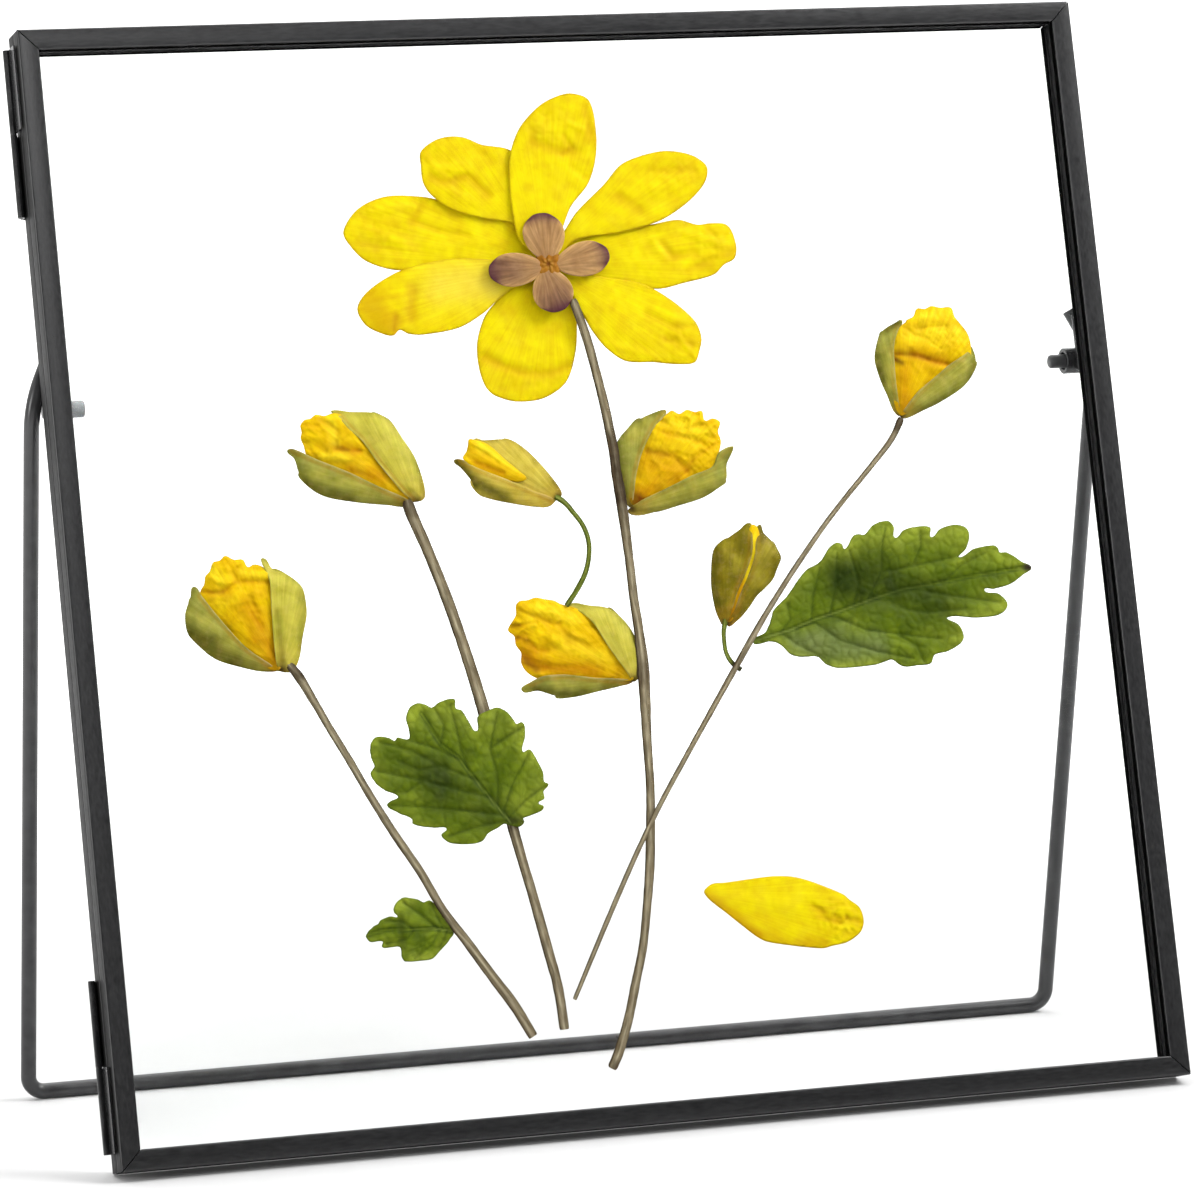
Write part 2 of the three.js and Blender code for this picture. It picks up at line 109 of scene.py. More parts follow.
bpy.ops.object.select_all(action="DESELECT")
bpy.ops.mesh.primitive_plane_add(size=16, location=(0, 0, 0))
table = bpy.context.object
table.name = "table"
table_paint = bpy.data.materials.new("white table")
nodes, link = nodes_of(table_paint)
shader = nodes.new("ShaderNodeBsdfPrincipled")
shader.inputs["Base Color"].default_value = (0.54, 0.54, 0.54, 1)
place = nodes.new("ShaderNodeTexCoord")
reach = nodes.new("ShaderNodeVectorMath")
reach.operation = "LENGTH"
glow = nodes.new("ShaderNodeMapRange")
for socket, value in (("From Min", 0.1), ("From Max", 0.4), ("To Min", 0.03), ("To Max", 1.0)):
    glow.inputs[socket].default_value = value
link(place.outputs["Object"], reach.inputs[0])
link(reach.outputs["Value"], glow.inputs["Value"])
link(glow.outputs[0], shader.inputs["Emission Color"])
shader.inputs["Emission Strength"].default_value = 1.0
shader.inputs["Roughness"].default_value = 0.9
shader.inputs["Specular IOR Level"].default_value = 0.1
out = nodes.new("ShaderNodeOutputMaterial")
link(shader.outputs[0], out.inputs["Surface"])
table.data.materials.append(table_paint)


# ---- Rails ----
# Eight rails folded from thin steel strip and painted satin black, four to each half.
# Their corners are mitred, and a groove on the inner side holds the edge of the pane.
MM = 0.001
SIDE = 210.0
RAIL_FACE = 3.9
HALF_DEPTH = 3.55
DEPTH = 7.4
PANE_GROOVE = (0.6, 2.4)
GROOVE_FLOOR = 1.7
FACE_ROUND = 0.42
SEAM_ROUND = 0.2
MITRE_GAP = 0.14
MITRE_SPARE = 1.0
TOUCH = 0.01
LEAN = math.radians(16.0)
REST_EDGE = -29.343

# Everything is made upright, x from the middle, depth y from the front face and z from
# the lower edge, in millimetres, and this sets it leaning on its lower back edge.
LEANING = (
    Matrix.Translation((0, REST_EDGE * MM, 0))
    @ Matrix.Rotation(-LEAN, 4, "X")
    @ Matrix.Translation((0, -DEPTH * MM, 0))
    @ Matrix.Scale(MM, 4)
)


def deselect():
    """Leaves edit mode and selects nothing."""
    if bpy.context.object and bpy.context.object.mode != "OBJECT":
        bpy.ops.object.mode_set(mode="OBJECT")
    bpy.ops.object.select_all(action="DESELECT")


def box_between(name, low, high):
    """A box primitive between two corners, in millimetres, its place in its mesh."""
    deselect()
    middle = [(a + b) / 2 for a, b in zip(low, high)]
    bpy.ops.mesh.primitive_cube_add(size=1, location=middle)
    piece = bpy.context.object
    piece.scale = [b - a for a, b in zip(low, high)]
    bpy.ops.object.transform_apply(location=True, rotation=False, scale=True)
    piece.name = name
    return piece


def pick(piece, kind, test):
    """Selects, in edit mode, the faces or edges whose middle (and normal) pass the test."""
    if piece.mode != "EDIT":
        deselect()
        piece.select_set(True)
        bpy.context.view_layer.objects.active = piece
        bpy.ops.object.mode_set(mode="EDIT")
    bpy.ops.mesh.select_mode(type="FACE" if kind == "faces" else "EDGE")
    bpy.ops.mesh.select_all(action="DESELECT")
    shape = bmesh.from_edit_mesh(piece.data)
    for part in getattr(shape, kind):
        middle = sum((v.co for v in part.verts), Vector()) / len(part.verts)
        way = part.normal if kind == "faces" else (part.verts[1].co - part.verts[0].co).normalized()
        part.select_set(bool(test(middle, way)))
    shape.select_flush_mode()
    bmesh.update_edit_mesh(piece.data)


def cut(place, way, clear=False):
    """Bisects everything with a plane, and with clear removes the side the plane faces."""
    bpy.ops.mesh.select_all(action="SELECT")
    bpy.ops.mesh.bisect(plane_co=place, plane_no=way, use_fill=clear, clear_outer=clear)


def lean_back(piece, angle=35):
    """Smooths the piece's rounded edges and sets it in its place in the leaning frame."""
    deselect()
    piece.data.transform(LEANING)
    piece.select_set(True)
    bpy.context.view_layer.objects.active = piece
    bpy.ops.object.shade_smooth_by_angle(angle=math.radians(angle))


def shared_effect(name, inputs, output):
    """Starts a node group and returns it with its nodes, its link call and its two end nodes."""
    group = bpy.data.node_groups.new(name, "ShaderNodeTree")
    for socket, value in inputs:
        group.interface.new_socket(socket, in_out="INPUT",
                                   socket_type="NodeSocketFloat").default_value = value
    group.interface.new_socket(output, in_out="OUTPUT", socket_type="NodeSocketFloat")
    nodes = group.nodes
    return group, nodes, group.links.new, nodes.new("NodeGroupInput"), nodes.new("NodeGroupOutput")


def drawn_out(nodes, link, place, scales):
    """Noise drawn out into streaks: place is scaled axis by axis before it is read."""
    stretch = nodes.new("ShaderNodeVectorMath")
    stretch.operation = "MULTIPLY"
    streaks = nodes.new("ShaderNodeTexNoise")
    streaks.inputs["Scale"].default_value = 1.0
    link(place, stretch.inputs[0])
    link(scales, stretch.inputs[1])
    link(stretch.outputs[0], streaks.inputs["Vector"])
    return streaks


def grain_group():
    """Fine streaks drawn out along one way, for brushed or rubbed surfaces."""
    inputs = (("Along X", 400.0), ("Along Y", 400.0), ("Along Z", 400.0), ("Detail", 3.0))
    group, nodes, link, given, result = shared_effect("rubbed grain", inputs, "Grain")
    place = nodes.new("ShaderNodeTexCoord")
    scales = nodes.new("ShaderNodeCombineXYZ")
    for i in range(3):
        link(given.outputs[i], scales.inputs[i])
    streaks = drawn_out(nodes, link, place.outputs["Object"], scales.outputs[0])
    link(given.outputs["Detail"], streaks.inputs["Detail"])
    link(streaks.outputs["Fac"], result.inputs["Grain"])
    return group


def effect(nodes, group, settings):
    """A node of a shared effect, with its inputs set."""
    node = nodes.new("ShaderNodeGroup")
    node.node_tree = group
    for socket, value in settings.items():
        node.inputs[socket].default_value = value
    return node


rubbed_grain = grain_group()


def rgb(red, green, blue):
    """A colour from its eight-bit screen values, as a linear colour."""
    screen = (red / 255, green / 255, blue / 255)
    return (*[v / 12.92 if v <= 0.04045 else ((v + 0.055) / 1.055) ** 2.4 for v in screen], 1.0)


def ramp(nodes, link, source, stops):
    """A colour ramp through the given (place, colour) stops, driven by source."""
    node = nodes.new("ShaderNodeValToRGB")
    while len(node.color_ramp.elements) < len(stops):
        node.color_ramp.elements.new(0.5)
    for element, (place, colour) in zip(node.color_ramp.elements, stops):
        element.position = place
        element.color = colour
    link(source, node.inputs["Fac"])
    return node.outputs["Color"]


def spread(nodes, link, source, low, high):
    """Spreads a 0 to 1 value between low and high."""
    node = nodes.new("ShaderNodeMapRange")
    node.inputs["To Min"].default_value = low
    node.inputs["To Max"].default_value = high
    link(source, node.inputs["Value"])
    return node.outputs[0]


def black_paint(name, along, dark=(20, 20, 21), light=(36, 36, 37), gloss=0.32, shine=0.5):
    """Satin black paint over metal that was rubbed along one way."""
    paint = bpy.data.materials.new(name)
    nodes, link = nodes_of(paint)
    x, y, z = along
    grain = effect(nodes, rubbed_grain, {"Along X": x, "Along Y": y, "Along Z": z, "Detail": 4.0})
    shader = nodes.new("ShaderNodeBsdfPrincipled")
    shader.inputs["Specular IOR Level"].default_value = shine
    bump = nodes.new("ShaderNodeBump")
    bump.inputs["Strength"].default_value = 0.35
    bump.inputs["Distance"].default_value = 0.00004
    out = nodes.new("ShaderNodeOutputMaterial")
    streaks = grain.outputs["Grain"]
    link(ramp(nodes, link, streaks, ((0.3, rgb(*dark)), (0.7, rgb(*light)))), shader.inputs["Base Color"])
    link(spread(nodes, link, streaks, gloss - 0.08, gloss + 0.12), shader.inputs["Roughness"])
    link(streaks, bump.inputs["Height"])
    link(bump.outputs[0], shader.inputs["Normal"])
    link(shader.outputs[0], out.inputs["Surface"])
    return paint


level_paint = black_paint("black rail, level", (500, 2400, 2400))
upright_paint = black_paint("black rail, upright", (2400, 2400, 500))
# Two darker, duller copies of the rail paint: the first is painted shade on the rails' inner sides and
# grooves, the second is painted shade on their outer sides.
inside_shade_paint = black_paint("black rail, inside, painted shade", (300, 900, 300), dark=(4, 4, 4), light=(9, 9, 9),
                           gloss=0.7, shine=0.08)
side_shade_paint = black_paint("black rail, side, painted shade", (900, 900, 900), dark=(10, 10, 10), light=(18, 18, 18),
                         gloss=0.5, shine=0.2)

# The lower front rail is shaped first: the two bent edges at its face are rounder than
# the two cut edges at the seam.
first_rail = box_between("rail", (-SIDE / 2 - MITRE_SPARE, 0, 0),
                         (SIDE / 2 + MITRE_SPARE, HALF_DEPTH, RAIL_FACE))
pick(first_rail, "edges", lambda at, way: abs(way.x) > 0.9 and at.y < 0.1)
bpy.ops.mesh.bevel(offset=FACE_ROUND, segments=4)
pick(first_rail, "edges", lambda at, way: abs(way.x) > 0.9 and at.y > HALF_DEPTH - TOUCH)
bpy.ops.mesh.bevel(offset=SEAM_ROUND, segments=2)
for depth in PANE_GROOVE:
    cut((0, depth, 0), (0, 1, 0))
pick(first_rail, "faces", lambda at, way: way.z > 0.9 and PANE_GROOVE[0] < at.y < PANE_GROOVE[1])
bpy.ops.mesh.extrude_region_move(TRANSFORM_OT_translate={"value": (0, 0, GROOVE_FLOOR - RAIL_FACE)})
for end in (-1, 1):
    cut((end * (SIDE / 2 - MITRE_GAP), 0, 0), (end, 0, 1), clear=True)
bpy.ops.object.mode_set(mode="OBJECT")
# Inner sides and grooves take the painted-shade inside paint, and outer sides take the painted-shade side
# paint.
for face in first_rail.data.polygons:
    between = PANE_GROOVE[0] - TOUCH < face.center.y < PANE_GROOVE[1] + TOUCH
    in_groove = abs(face.normal.y) > 0.9 and between
    face.material_index = 1 if face.normal.z > 0.9 or in_groove else 2 if face.normal.z < -0.95 else 0

for half, to_half in (("front", Matrix.Identity(4)),
                      ("back", Matrix.Translation((0, DEPTH, 0)) @ Matrix.Scale(-1, 4, (0, 1, 0)))):
    for quarter, place in enumerate(("bottom", "right", "top", "left")):
        rail = first_rail.copy()
        rail.data = first_rail.data.copy()
        rail.name = f"{half}_{place}_rail_folded"
        bpy.context.scene.collection.objects.link(rail)
        rail.data.transform(to_half)
        if half == "back":
            rail.data.flip_normals()
        middle = Matrix.Translation((0, 0, SIDE / 2))
        rail.data.transform(middle @ Matrix.Rotation(-quarter * math.pi / 2, 4, "Y") @ middle.inverted())
        lean_back(rail, 40)
        rail.data.materials.append(level_paint if place in ("bottom", "top") else upright_paint)
        rail.data.materials.append(inside_shade_paint)
        rail.data.materials.append(side_shade_paint)
        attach(rail, half + "_frame")
        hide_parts(f"{half}_{place}_rail")
bpy.data.objects.remove(first_rail)


# ---- Panes ----
# Two clear sheets of float glass, 1.2 mm thick. They sit in the grooves of the rails,
# and the pressed plants lie in the narrow space between them.
def clear_glass():
    """Float glass with the faintest green; it lets light through to what it would shade."""
    glass = bpy.data.materials.new("clear glass")
    nodes, link = nodes_of(glass)
    grain = effect(nodes, rubbed_grain, {"Along X": 9.0, "Along Y": 9.0, "Along Z": 5.0, "Detail": 1.0})
    shader = nodes.new("ShaderNodeBsdfPrincipled")
    shader.inputs["Transmission Weight"].default_value = 1.0
    shader.inputs["Roughness"].default_value = 0.0
    shader.inputs["IOR"].default_value = 1.45
    passing = nodes.new("ShaderNodeBsdfTransparent")
    path = nodes.new("ShaderNodeLightPath")
    mix = nodes.new("ShaderNodeMixShader")
    out = nodes.new("ShaderNodeOutputMaterial")
    tint = ramp(nodes, link, grain.outputs["Grain"], ((0.3, (0.985, 0.995, 0.99, 1)), (0.7, (1, 1, 1, 1))))
    link(tint, shader.inputs["Base Color"])
    link(path.outputs["Is Shadow Ray"], mix.inputs["Fac"])
    link(shader.outputs[0], mix.inputs[1])
    link(passing.outputs[0], mix.inputs[2])
    link(mix.outputs[0], out.inputs["Surface"])
    return glass


glass = clear_glass()
for name in ("front_glass", "back_glass"):
    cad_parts[name].data.materials.clear()
    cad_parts[name].data.materials.append(glass)


# ---- Hinges and brackets ----
# Two barrel hinges on the left side and two eye brackets behind the side rails, all
# folded from sheet steel and painted with the rails. Each hinge turns on a pin with a washer.
hinge_paint = black_paint("black hinge", (900, 900, 120), gloss=0.2)
for place in ("upper", "lower"):
    for half in ("front", "back"):
        hinge_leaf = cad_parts[f"{place}_hinge_{half}_leaf"]
        hinge_leaf.data.materials.clear()
        hinge_leaf.data.materials.append(hinge_paint)

PIN_X = -SIDE / 2 - 0.95
PIN_DEPTH = 6.0
PIN_RADIUS = 0.38
PIN_HEIGHT = 30.2
PIN_ROUND = 0.12
WASHER_RADIUS = 0.6
WASHER_THICKNESS = 0.24
WASHER_RISE = 15.25


def post(radius, height, middle):
    """An upright round bar on the hinges' axis, its place in its mesh."""
    bpy.ops.mesh.primitive_cylinder_add(vertices=24, radius=radius, depth=height,
                                        location=(PIN_X, PIN_DEPTH, middle))
    bpy.ops.object.transform_apply(location=True, rotation=False, scale=False)
    return bpy.context.object


for name, low in (("upper_hinge_pin", 176.4), ("lower_hinge_pin", 4.1)):
    deselect()
    pin = post(PIN_RADIUS, PIN_HEIGHT, low + PIN_HEIGHT / 2)
    pin.name = name + "_drawn"
    pick(pin, "edges", lambda at, way: abs(way.z) < 0.5)
    bpy.ops.mesh.bevel(offset=PIN_ROUND, segments=3)
    bpy.ops.object.mode_set(mode="OBJECT")
    washer = post(WASHER_RADIUS, WASHER_THICKNESS, low + WASHER_RISE)
    deselect()
    washer.select_set(True)
    pin.select_set(True)
    bpy.context.view_layer.objects.active = pin
    bpy.ops.object.join()
    lean_back(pin)
    pin.data.materials.append(hinge_paint)
    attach(pin, "back_frame")
    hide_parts(name)

PIVOT_HEIGHT = 140.6
PIVOT_DEPTH = 10.9
BACK = DEPTH + 0.3
RING_STEPS = 40
EYE = ((99.5, 1.85), (99.5, 2.35), (99.65, 2.5), (103.25, 2.5), (103.4, 2.35), (103.4, 1.72), (99.65, 1.72))
PLATE_START = 101.3
FOOT_END = 104.2
FOOT_THICKNESS = 0.9
WEB_END = 103.4
WEB_HALF_HEIGHT = 2.2
PLATE_ROUND = 0.2


def spin_ring(name, outline):
    """Spins a closed outline of (x, distance from the pivot's axis) round that axis."""
    deselect()
    mesh = bpy.data.meshes.new(name)
    corners = [(x, PIVOT_DEPTH + away, PIVOT_HEIGHT) for x, away in outline]
    mesh.from_pydata(corners, [(i, (i + 1) % len(corners)) for i in range(len(corners))], [])
    ring = bpy.data.objects.new(name, mesh)
    bpy.context.scene.collection.objects.link(ring)
    bpy.context.view_layer.objects.active = ring
    ring.select_set(True)
    bpy.ops.object.mode_set(mode="EDIT")
    bpy.ops.mesh.select_all(action="SELECT")
    bpy.ops.mesh.spin(steps=RING_STEPS, angle=2 * math.pi, center=(0, PIVOT_DEPTH, PIVOT_HEIGHT),
                      axis=(1, 0, 0))
    bpy.ops.mesh.select_all(action="SELECT")
    bpy.ops.mesh.remove_doubles(threshold=0.001)
    bpy.ops.mesh.normals_make_consistent(inside=False)
    bpy.ops.object.mode_set(mode="OBJECT")
    return ring


for side, name in ((-1, "left_pivot_bracket"), (1, "right_pivot_bracket")):
    eye = spin_ring(name + "_eye", [(side * x, away) for x, away in EYE])
    low, high = sorted((side * PLATE_START, side * FOOT_END))
    foot = box_between(name + "_foot", (low, BACK, PIVOT_HEIGHT - 2.5),
                       (high, BACK + FOOT_THICKNESS, PIVOT_HEIGHT + 8.5))
    low, high = sorted((side * PLATE_START, side * WEB_END))
    web = box_between(name + "_web", (low, BACK + 0.5, PIVOT_HEIGHT - WEB_HALF_HEIGHT),
                      (high, PIVOT_DEPTH - 1.75, PIVOT_HEIGHT + WEB_HALF_HEIGHT))
    for plate in (foot, web):
        pick(plate, "edges", lambda at, way: True)
        bpy.ops.mesh.bevel(offset=PLATE_ROUND, segments=3)
        deselect()
    for part in (foot, web, eye):
        part.select_set(True)
    bpy.context.view_layer.objects.active = eye
    bpy.ops.object.join()
    eye.name = name + "_folded"
    lean_back(eye)
    eye.data.materials.append(hinge_paint)
    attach(eye, "back_frame")
    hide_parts(name)


# ---- Stand ----
# One length of 3 mm steel wire, bent into a wide U with short tails turned in above the
# pivots. A pin through each leg turns in its bracket. The left pin wears a soft cap.
WIRE_R = 1.49
FOOT_BEND = 3.2
KNEE_BEND = 16.0
BEND_STEPS = 12
FOOT = (105.0, 68.8, 19.17)
KNEE = (106.2, 10.33, 141.8)
TAIL = (102.0, 10.53, 150.6)

wire_paint = black_paint("black wire", (260, 260, 260), dark=(34, 34, 35), light=(52, 52, 53), gloss=0.3)


def rounded(corners, radii):
    """Points along a bent wire: straight runs, with an arc of the bend's radius at each corner."""
    points = [Vector(corners[0])]
    for before, corner, after, radius in zip(corners, corners[1:], corners[2:], radii):
        corner = Vector(corner)
        back, on = (Vector(before) - corner).normalized(), (Vector(after) - corner).normalized()
        half = back.angle(on) / 2
        run = radius / math.tan(half)
        middle = corner + (back + on).normalized() * (radius / math.sin(half))
        start, end = corner + back * run - middle, corner + on * run - middle
        bend = start.angle(end)
        for step in range(BEND_STEPS + 1):
            t = step / BEND_STEPS
            swing = start * math.sin((1 - t) * bend) + end * math.sin(t * bend)
            points.append(middle + swing / math.sin(bend))
    points.append(Vector(corners[-1]))
    return points


def draw_wire(name, points, radius):
    """A round wire along the points, closed at both ends."""
    deselect()
    path = bpy.data.curves.new(name, "CURVE")
    path.dimensions = "3D"
    path.bevel_depth = radius
    path.bevel_resolution = 6
    path.use_fill_caps = True
    line = path.splines.new("POLY")
    line.points.add(len(points) - 1)
    for spot, point in zip(line.points, points):
        spot.co = (*point, 1)
    wire = bpy.data.objects.new(name, path)
    bpy.context.scene.collection.objects.link(wire)
    wire.select_set(True)
    bpy.context.view_layer.objects.active = wire
    bpy.ops.object.convert(target="MESH")
    return bpy.context.object


mirror = Vector((-1, 1, 1))
left_leg = [Vector(spot) * mirror for spot in (TAIL, KNEE, FOOT)]
corners = left_leg + [Vector(spot) for spot in (FOOT, KNEE, TAIL)]
wire = draw_wire("stand_wire_bent", rounded(corners, (KNEE_BEND, FOOT_BEND, FOOT_BEND, KNEE_BEND)), WIRE_R)
pick(wire, "edges", lambda at, way: False)
bpy.ops.mesh.select_all(action="SELECT")
bpy.ops.mesh.remove_doubles(threshold=0.0005)
bpy.ops.mesh.normals_make_consistent(inside=False)
bpy.ops.object.mode_set(mode="OBJECT")
lean_back(wire, 50)
wire.data.materials.append(wire_paint)
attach(wire, "stand")
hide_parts("stand_wire")

pin_shapes = {
    "left_pivot_pin": (-1, [(96.9, 0.0), (96.9, 0.9), (99.2, 0.9), (99.35, 1.3), (104.1, 1.3),
                            (104.1, 0.0)]),
    "right_pivot_pin": (1, [(96.6, 0.0), (96.6, 0.95), (96.7, 1.15), (96.95, 1.3), (97.3, 1.33),
                            (104.1, 1.33), (104.1, 0.0)]),
}
for name, (side, outline) in pin_shapes.items():
    pin = spin_ring(name + "_turned", [(side * x, away) for x, away in outline])
    lean_back(pin)
    pin.data.materials.append(wire_paint)
    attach(pin, "stand")
    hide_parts(name)

cap = spin_ring("left_pin_cap_moulded", [(-x, away) for x, away in (
    (99.3, 1.2), (99.3, 1.5), (99.2, 1.59), (96.85, 1.59), (96.6, 1.5), (96.5, 1.3), (96.5, 0.0),
    (96.8, 0.0), (96.8, 1.2))])
lean_back(cap)
cap_plastic = bpy.data.materials.new("cloudy soft plastic")
nodes, link = nodes_of(cap_plastic)
grain = effect(nodes, rubbed_grain, {})
shader = nodes.new("ShaderNodeBsdfPrincipled")
shader.inputs["Roughness"].default_value = 0.25
shader.inputs["Subsurface Weight"].default_value = 0.3
shader.inputs["Subsurface Scale"].default_value = 0.001
out = nodes.new("ShaderNodeOutputMaterial")
link(ramp(nodes, link, grain.outputs["Grain"], ((0.3, rgb(116, 117, 119)), (0.7, rgb(146, 147, 149)))),
     shader.inputs["Base Color"])
link(shader.outputs[0], out.inputs["Surface"])
cap.data.materials.append(cap_plastic)
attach(cap, "stand")
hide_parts("left_pin_cap")


# ---- Petals ----
# Eight thin yellow petals, overlapping round the flower's heart, and a loose one lower down, all
# pressed flat and dried. Each is a little creased and bruised to ochre, with painted shade in its
# creases and hollows, and fine veins fan out from its foot.
MIDDLE_DEPTH = 4.07
SHIFT_ACROSS = 0.35
SHIFT_UP = 0.14
ROW_SPACING = 0.866
RIM_CLEARANCE = 0.55
TISSUE_TONE = 0.62
FRACTAL_DROP = 0.9
FRACTAL_STEP = 2.0


def soft_outline(points, step):
    """A smooth closed line through the points, marked off about every step."""
    points = np.array(points, float)
    count = len(points)
    reach = np.linalg.norm(np.roll(points, -1, 0) - points, axis=1)
    way = np.roll(points, -1, 0) - np.roll(points, 1, 0)
    way /= np.linalg.norm(way, axis=1)[:, None] + 1e-9
    rim = []
    for i in range(count):
        j = (i + 1) % count
        here, there = way[i] * reach[i] * 0.9, way[j] * reach[i] * 0.9
        for t in np.arange(max(1, round(reach[i] / step))) / max(1, round(reach[i] / step)):
            rim.append((2 * t**3 - 3 * t**2 + 1) * points[i] + (t**3 - 2 * t**2 + t) * here
                       + (3 * t**2 - 2 * t**3) * points[j] + (t**3 - t**2) * there)
    return np.array(rim)


def away_from(spots, start, end):
    """Distance of each spot from the line between start and end."""
    start, run = np.array(start, float), np.array(end, float) - np.array(start, float)
    share = np.clip(((spots - start) @ run) / max(run @ run, 1e-9), 0, 1)
    return np.linalg.norm(spots - start - share[:, None] * run, axis=1)


def away_from_rim(spots, rim):
    """Distance of each spot from the closed line."""
    best = np.full(len(spots), 1e9)
    for start, end in zip(rim, np.roll(rim, -1, 0)):
        best = np.minimum(best, away_from(spots, start, end))
    return best


def within(spots, rim):
    """Whether each spot lies inside the closed line."""
    inside = np.zeros(len(spots), bool)
    for (x0, z0), (x1, z1) in zip(rim, np.roll(rim, -1, 0)):
        crosses = (z0 > spots[:, 1]) != (z1 > spots[:, 1])
        with np.errstate(divide="ignore", invalid="ignore"):
            side = spots[:, 0] < (x1 - x0) * (spots[:, 1] - z0) / (z1 - z0) + x0
        inside ^= crosses & side
    return inside


def strokes(spots, marks):
    """Adds up soft strokes. Each mark is a run of points, then its width and its amount."""
    total = np.zeros(len(spots))
    for *line, width, amount in marks:
        near = np.full(len(spots), 1e9)
        for start, end in zip(line, line[1:] or line):
            near = np.minimum(near, away_from(spots, start, end))
        total += amount * np.exp(-((near / width) ** 2))
    return total


def rough(spots, size, seed, octaves=3, stretch=(1, 1)):
    """Smooth noise about -1 to 1, its lumps about size across."""
    places = [Vector((x / size / stretch[0], z / size / stretch[1], seed)) for x, z in spots]
    return np.array([noise.fractal(place, FRACTAL_DROP, FRACTAL_STEP, octaves) for place in places])


def folds(spots, size, seed, stretch=(1, 1)):
    """Sharp-edged creases: 1 along their ridges and about 0 between them."""
    return 1 - 2 * np.abs(rough(spots, size, seed, 2, stretch))


def fan(spots, foot, tip, back):
    """Where each spot lies in a fan that opens from foot to tip: its angle and how far out."""
    foot, tip = np.array(foot, float), np.array(tip, float)
    length = np.linalg.norm(tip - foot)
    way = (tip - foot) / length
    rest = spots - foot
    along = rest @ way + back
    across = rest @ np.array([-way[1], way[0]])
    return np.arctan2(across, np.maximum(along, 0.3)), np.hypot(along, across) / (length + back)


def laid(x, z, depth):
    """A spot of a specimen. The nearer it lies to the front pane, the further left and down it sits."""
    behind = depth - MIDDLE_DEPTH
    return x - SIDE / 2 + SHIFT_ACROSS * behind, depth, z + SHIFT_UP * behind


def store_mask(mesh, mask, values):
    """Keeps a colour mask on the mesh's points, held between 0 and 1."""
    values = np.clip(values, 0, 1).astype(np.float32)
    mesh.attributes.new(mask, "FLOAT", "POINT").data.foreach_set("value", values)


def sheet_of(name, outline, depth, raise_by, marks, foot, tip, cell=0.4, thickness=0.13, back=3.0):
    """A pressed sheet cut to the outline and filled with small faces. raise_by gives how far each
    spot stands forward, and marks gives its colour masks, both in millimetres over the spots."""
    rim = soft_outline(outline, cell)
    low, high = rim.min(0), rim.max(0)
    columns = np.arange(low[0], high[0], cell)
    rows = np.arange(low[1], high[1], cell * ROW_SPACING)
    grid = np.array([(x + (i % 2) * cell / 2, z) for i, z in enumerate(rows) for x in columns])
    grid = grid[within(grid, rim)]
    grid = grid[away_from_rim(grid, rim) > cell * RIM_CLEARANCE]
    spots = [Vector(spot) for spot in np.vstack([rim, grid])]
    around = [(i, (i + 1) % len(rim)) for i in range(len(rim))]
    spots, _, faces = geometry.delaunay_2d_cdt(spots, around, [], 1, 1e-5)[:3]
    spots = np.array([tuple(spot) for spot in spots])
    edge = away_from_rim(spots, rim)
    angle, out = fan(spots, foot, tip, back)
    height = raise_by(spots, edge, angle, out)
    mesh = bpy.data.meshes.new(name)
    mesh.from_pydata([laid(x, z, depth - h) for (x, z), h in zip(spots, height)], [], faces)
    if mesh.polygons[0].normal.y > 0:
        mesh.flip_normals()
    for mask, values in marks(spots, edge, angle, out).items():
        store_mask(mesh, mask, values)
    lie = mesh.uv_layers.new(name="lie")
    corner = np.array([loop.vertex_index for loop in mesh.loops])
    lie.data.foreach_set("uv", np.stack([angle[corner], out[corner]], 1).astype(np.float32).ravel())
    mesh.transform(LEANING)
    mesh.shade_smooth()
    piece = bpy.data.objects.new(name, mesh)
    bpy.context.scene.collection.objects.link(piece)
    deselect()
    piece.select_set(True)
    bpy.context.view_layer.objects.active = piece
    wall = piece.modifiers.new("wall", "SOLIDIFY")
    wall.thickness = thickness * MM
    wall.offset = -1
    bpy.ops.object.modifier_apply(modifier=wall.name)
    return piece


def vein_group():
    """Fine streaks that fan out from the foot of a petal, sepal or leaf along its own lie."""
    inputs = (("Count", 60.0), ("Drift", 2.0), ("Detail", 3.0))
    group, nodes, link, given, result = shared_effect("fanned veins", inputs, "Veins")
    lie = nodes.new("ShaderNodeUVMap")
    lie.uv_map = "lie"
    scales = nodes.new("ShaderNodeCombineXYZ")
    link(given.outputs["Count"], scales.inputs[0])
    link(given.outputs["Drift"], scales.inputs[1])
    streaks = drawn_out(nodes, link, lie.outputs[0], scales.outputs[0])
    link(given.outputs["Detail"], streaks.inputs["Detail"])
    link(streaks.outputs["Fac"], result.inputs["Veins"])
    return group


def mottle_group():
    """Turns a painted mask into patches with a natural, uneven border."""
    inputs = (("Mask", 0.0), ("Size", 400.0), ("Unevenness", 0.5))
    group, nodes, link, given, result = shared_effect("dried patches", inputs, "Patches")
    place = nodes.new("ShaderNodeTexCoord")
    blots = nodes.new("ShaderNodeTexNoise")
    blots.inputs["Detail"].default_value = 5.0
    centred = nodes.new("ShaderNodeMath")
    centred.operation = "SUBTRACT"
    centred.inputs[1].default_value = 0.5
    shift = nodes.new("ShaderNodeMath")
    shift.operation = "MULTIPLY_ADD"
    keep = nodes.new("ShaderNodeClamp")
    link(place.outputs["Object"], blots.inputs["Vector"])
    link(given.outputs["Size"], blots.inputs["Scale"])
    link(blots.outputs["Fac"], centred.inputs[0])
    link(centred.outputs[0], shift.inputs[0])
    link(given.outputs["Unevenness"], shift.inputs[1])
    link(given.outputs["Mask"], shift.inputs[2])
    link(shift.outputs[0], keep.inputs[0])
    link(keep.outputs[0], result.inputs["Patches"])
    return group


fanned_veins = vein_group()
dried_patches = mottle_group()


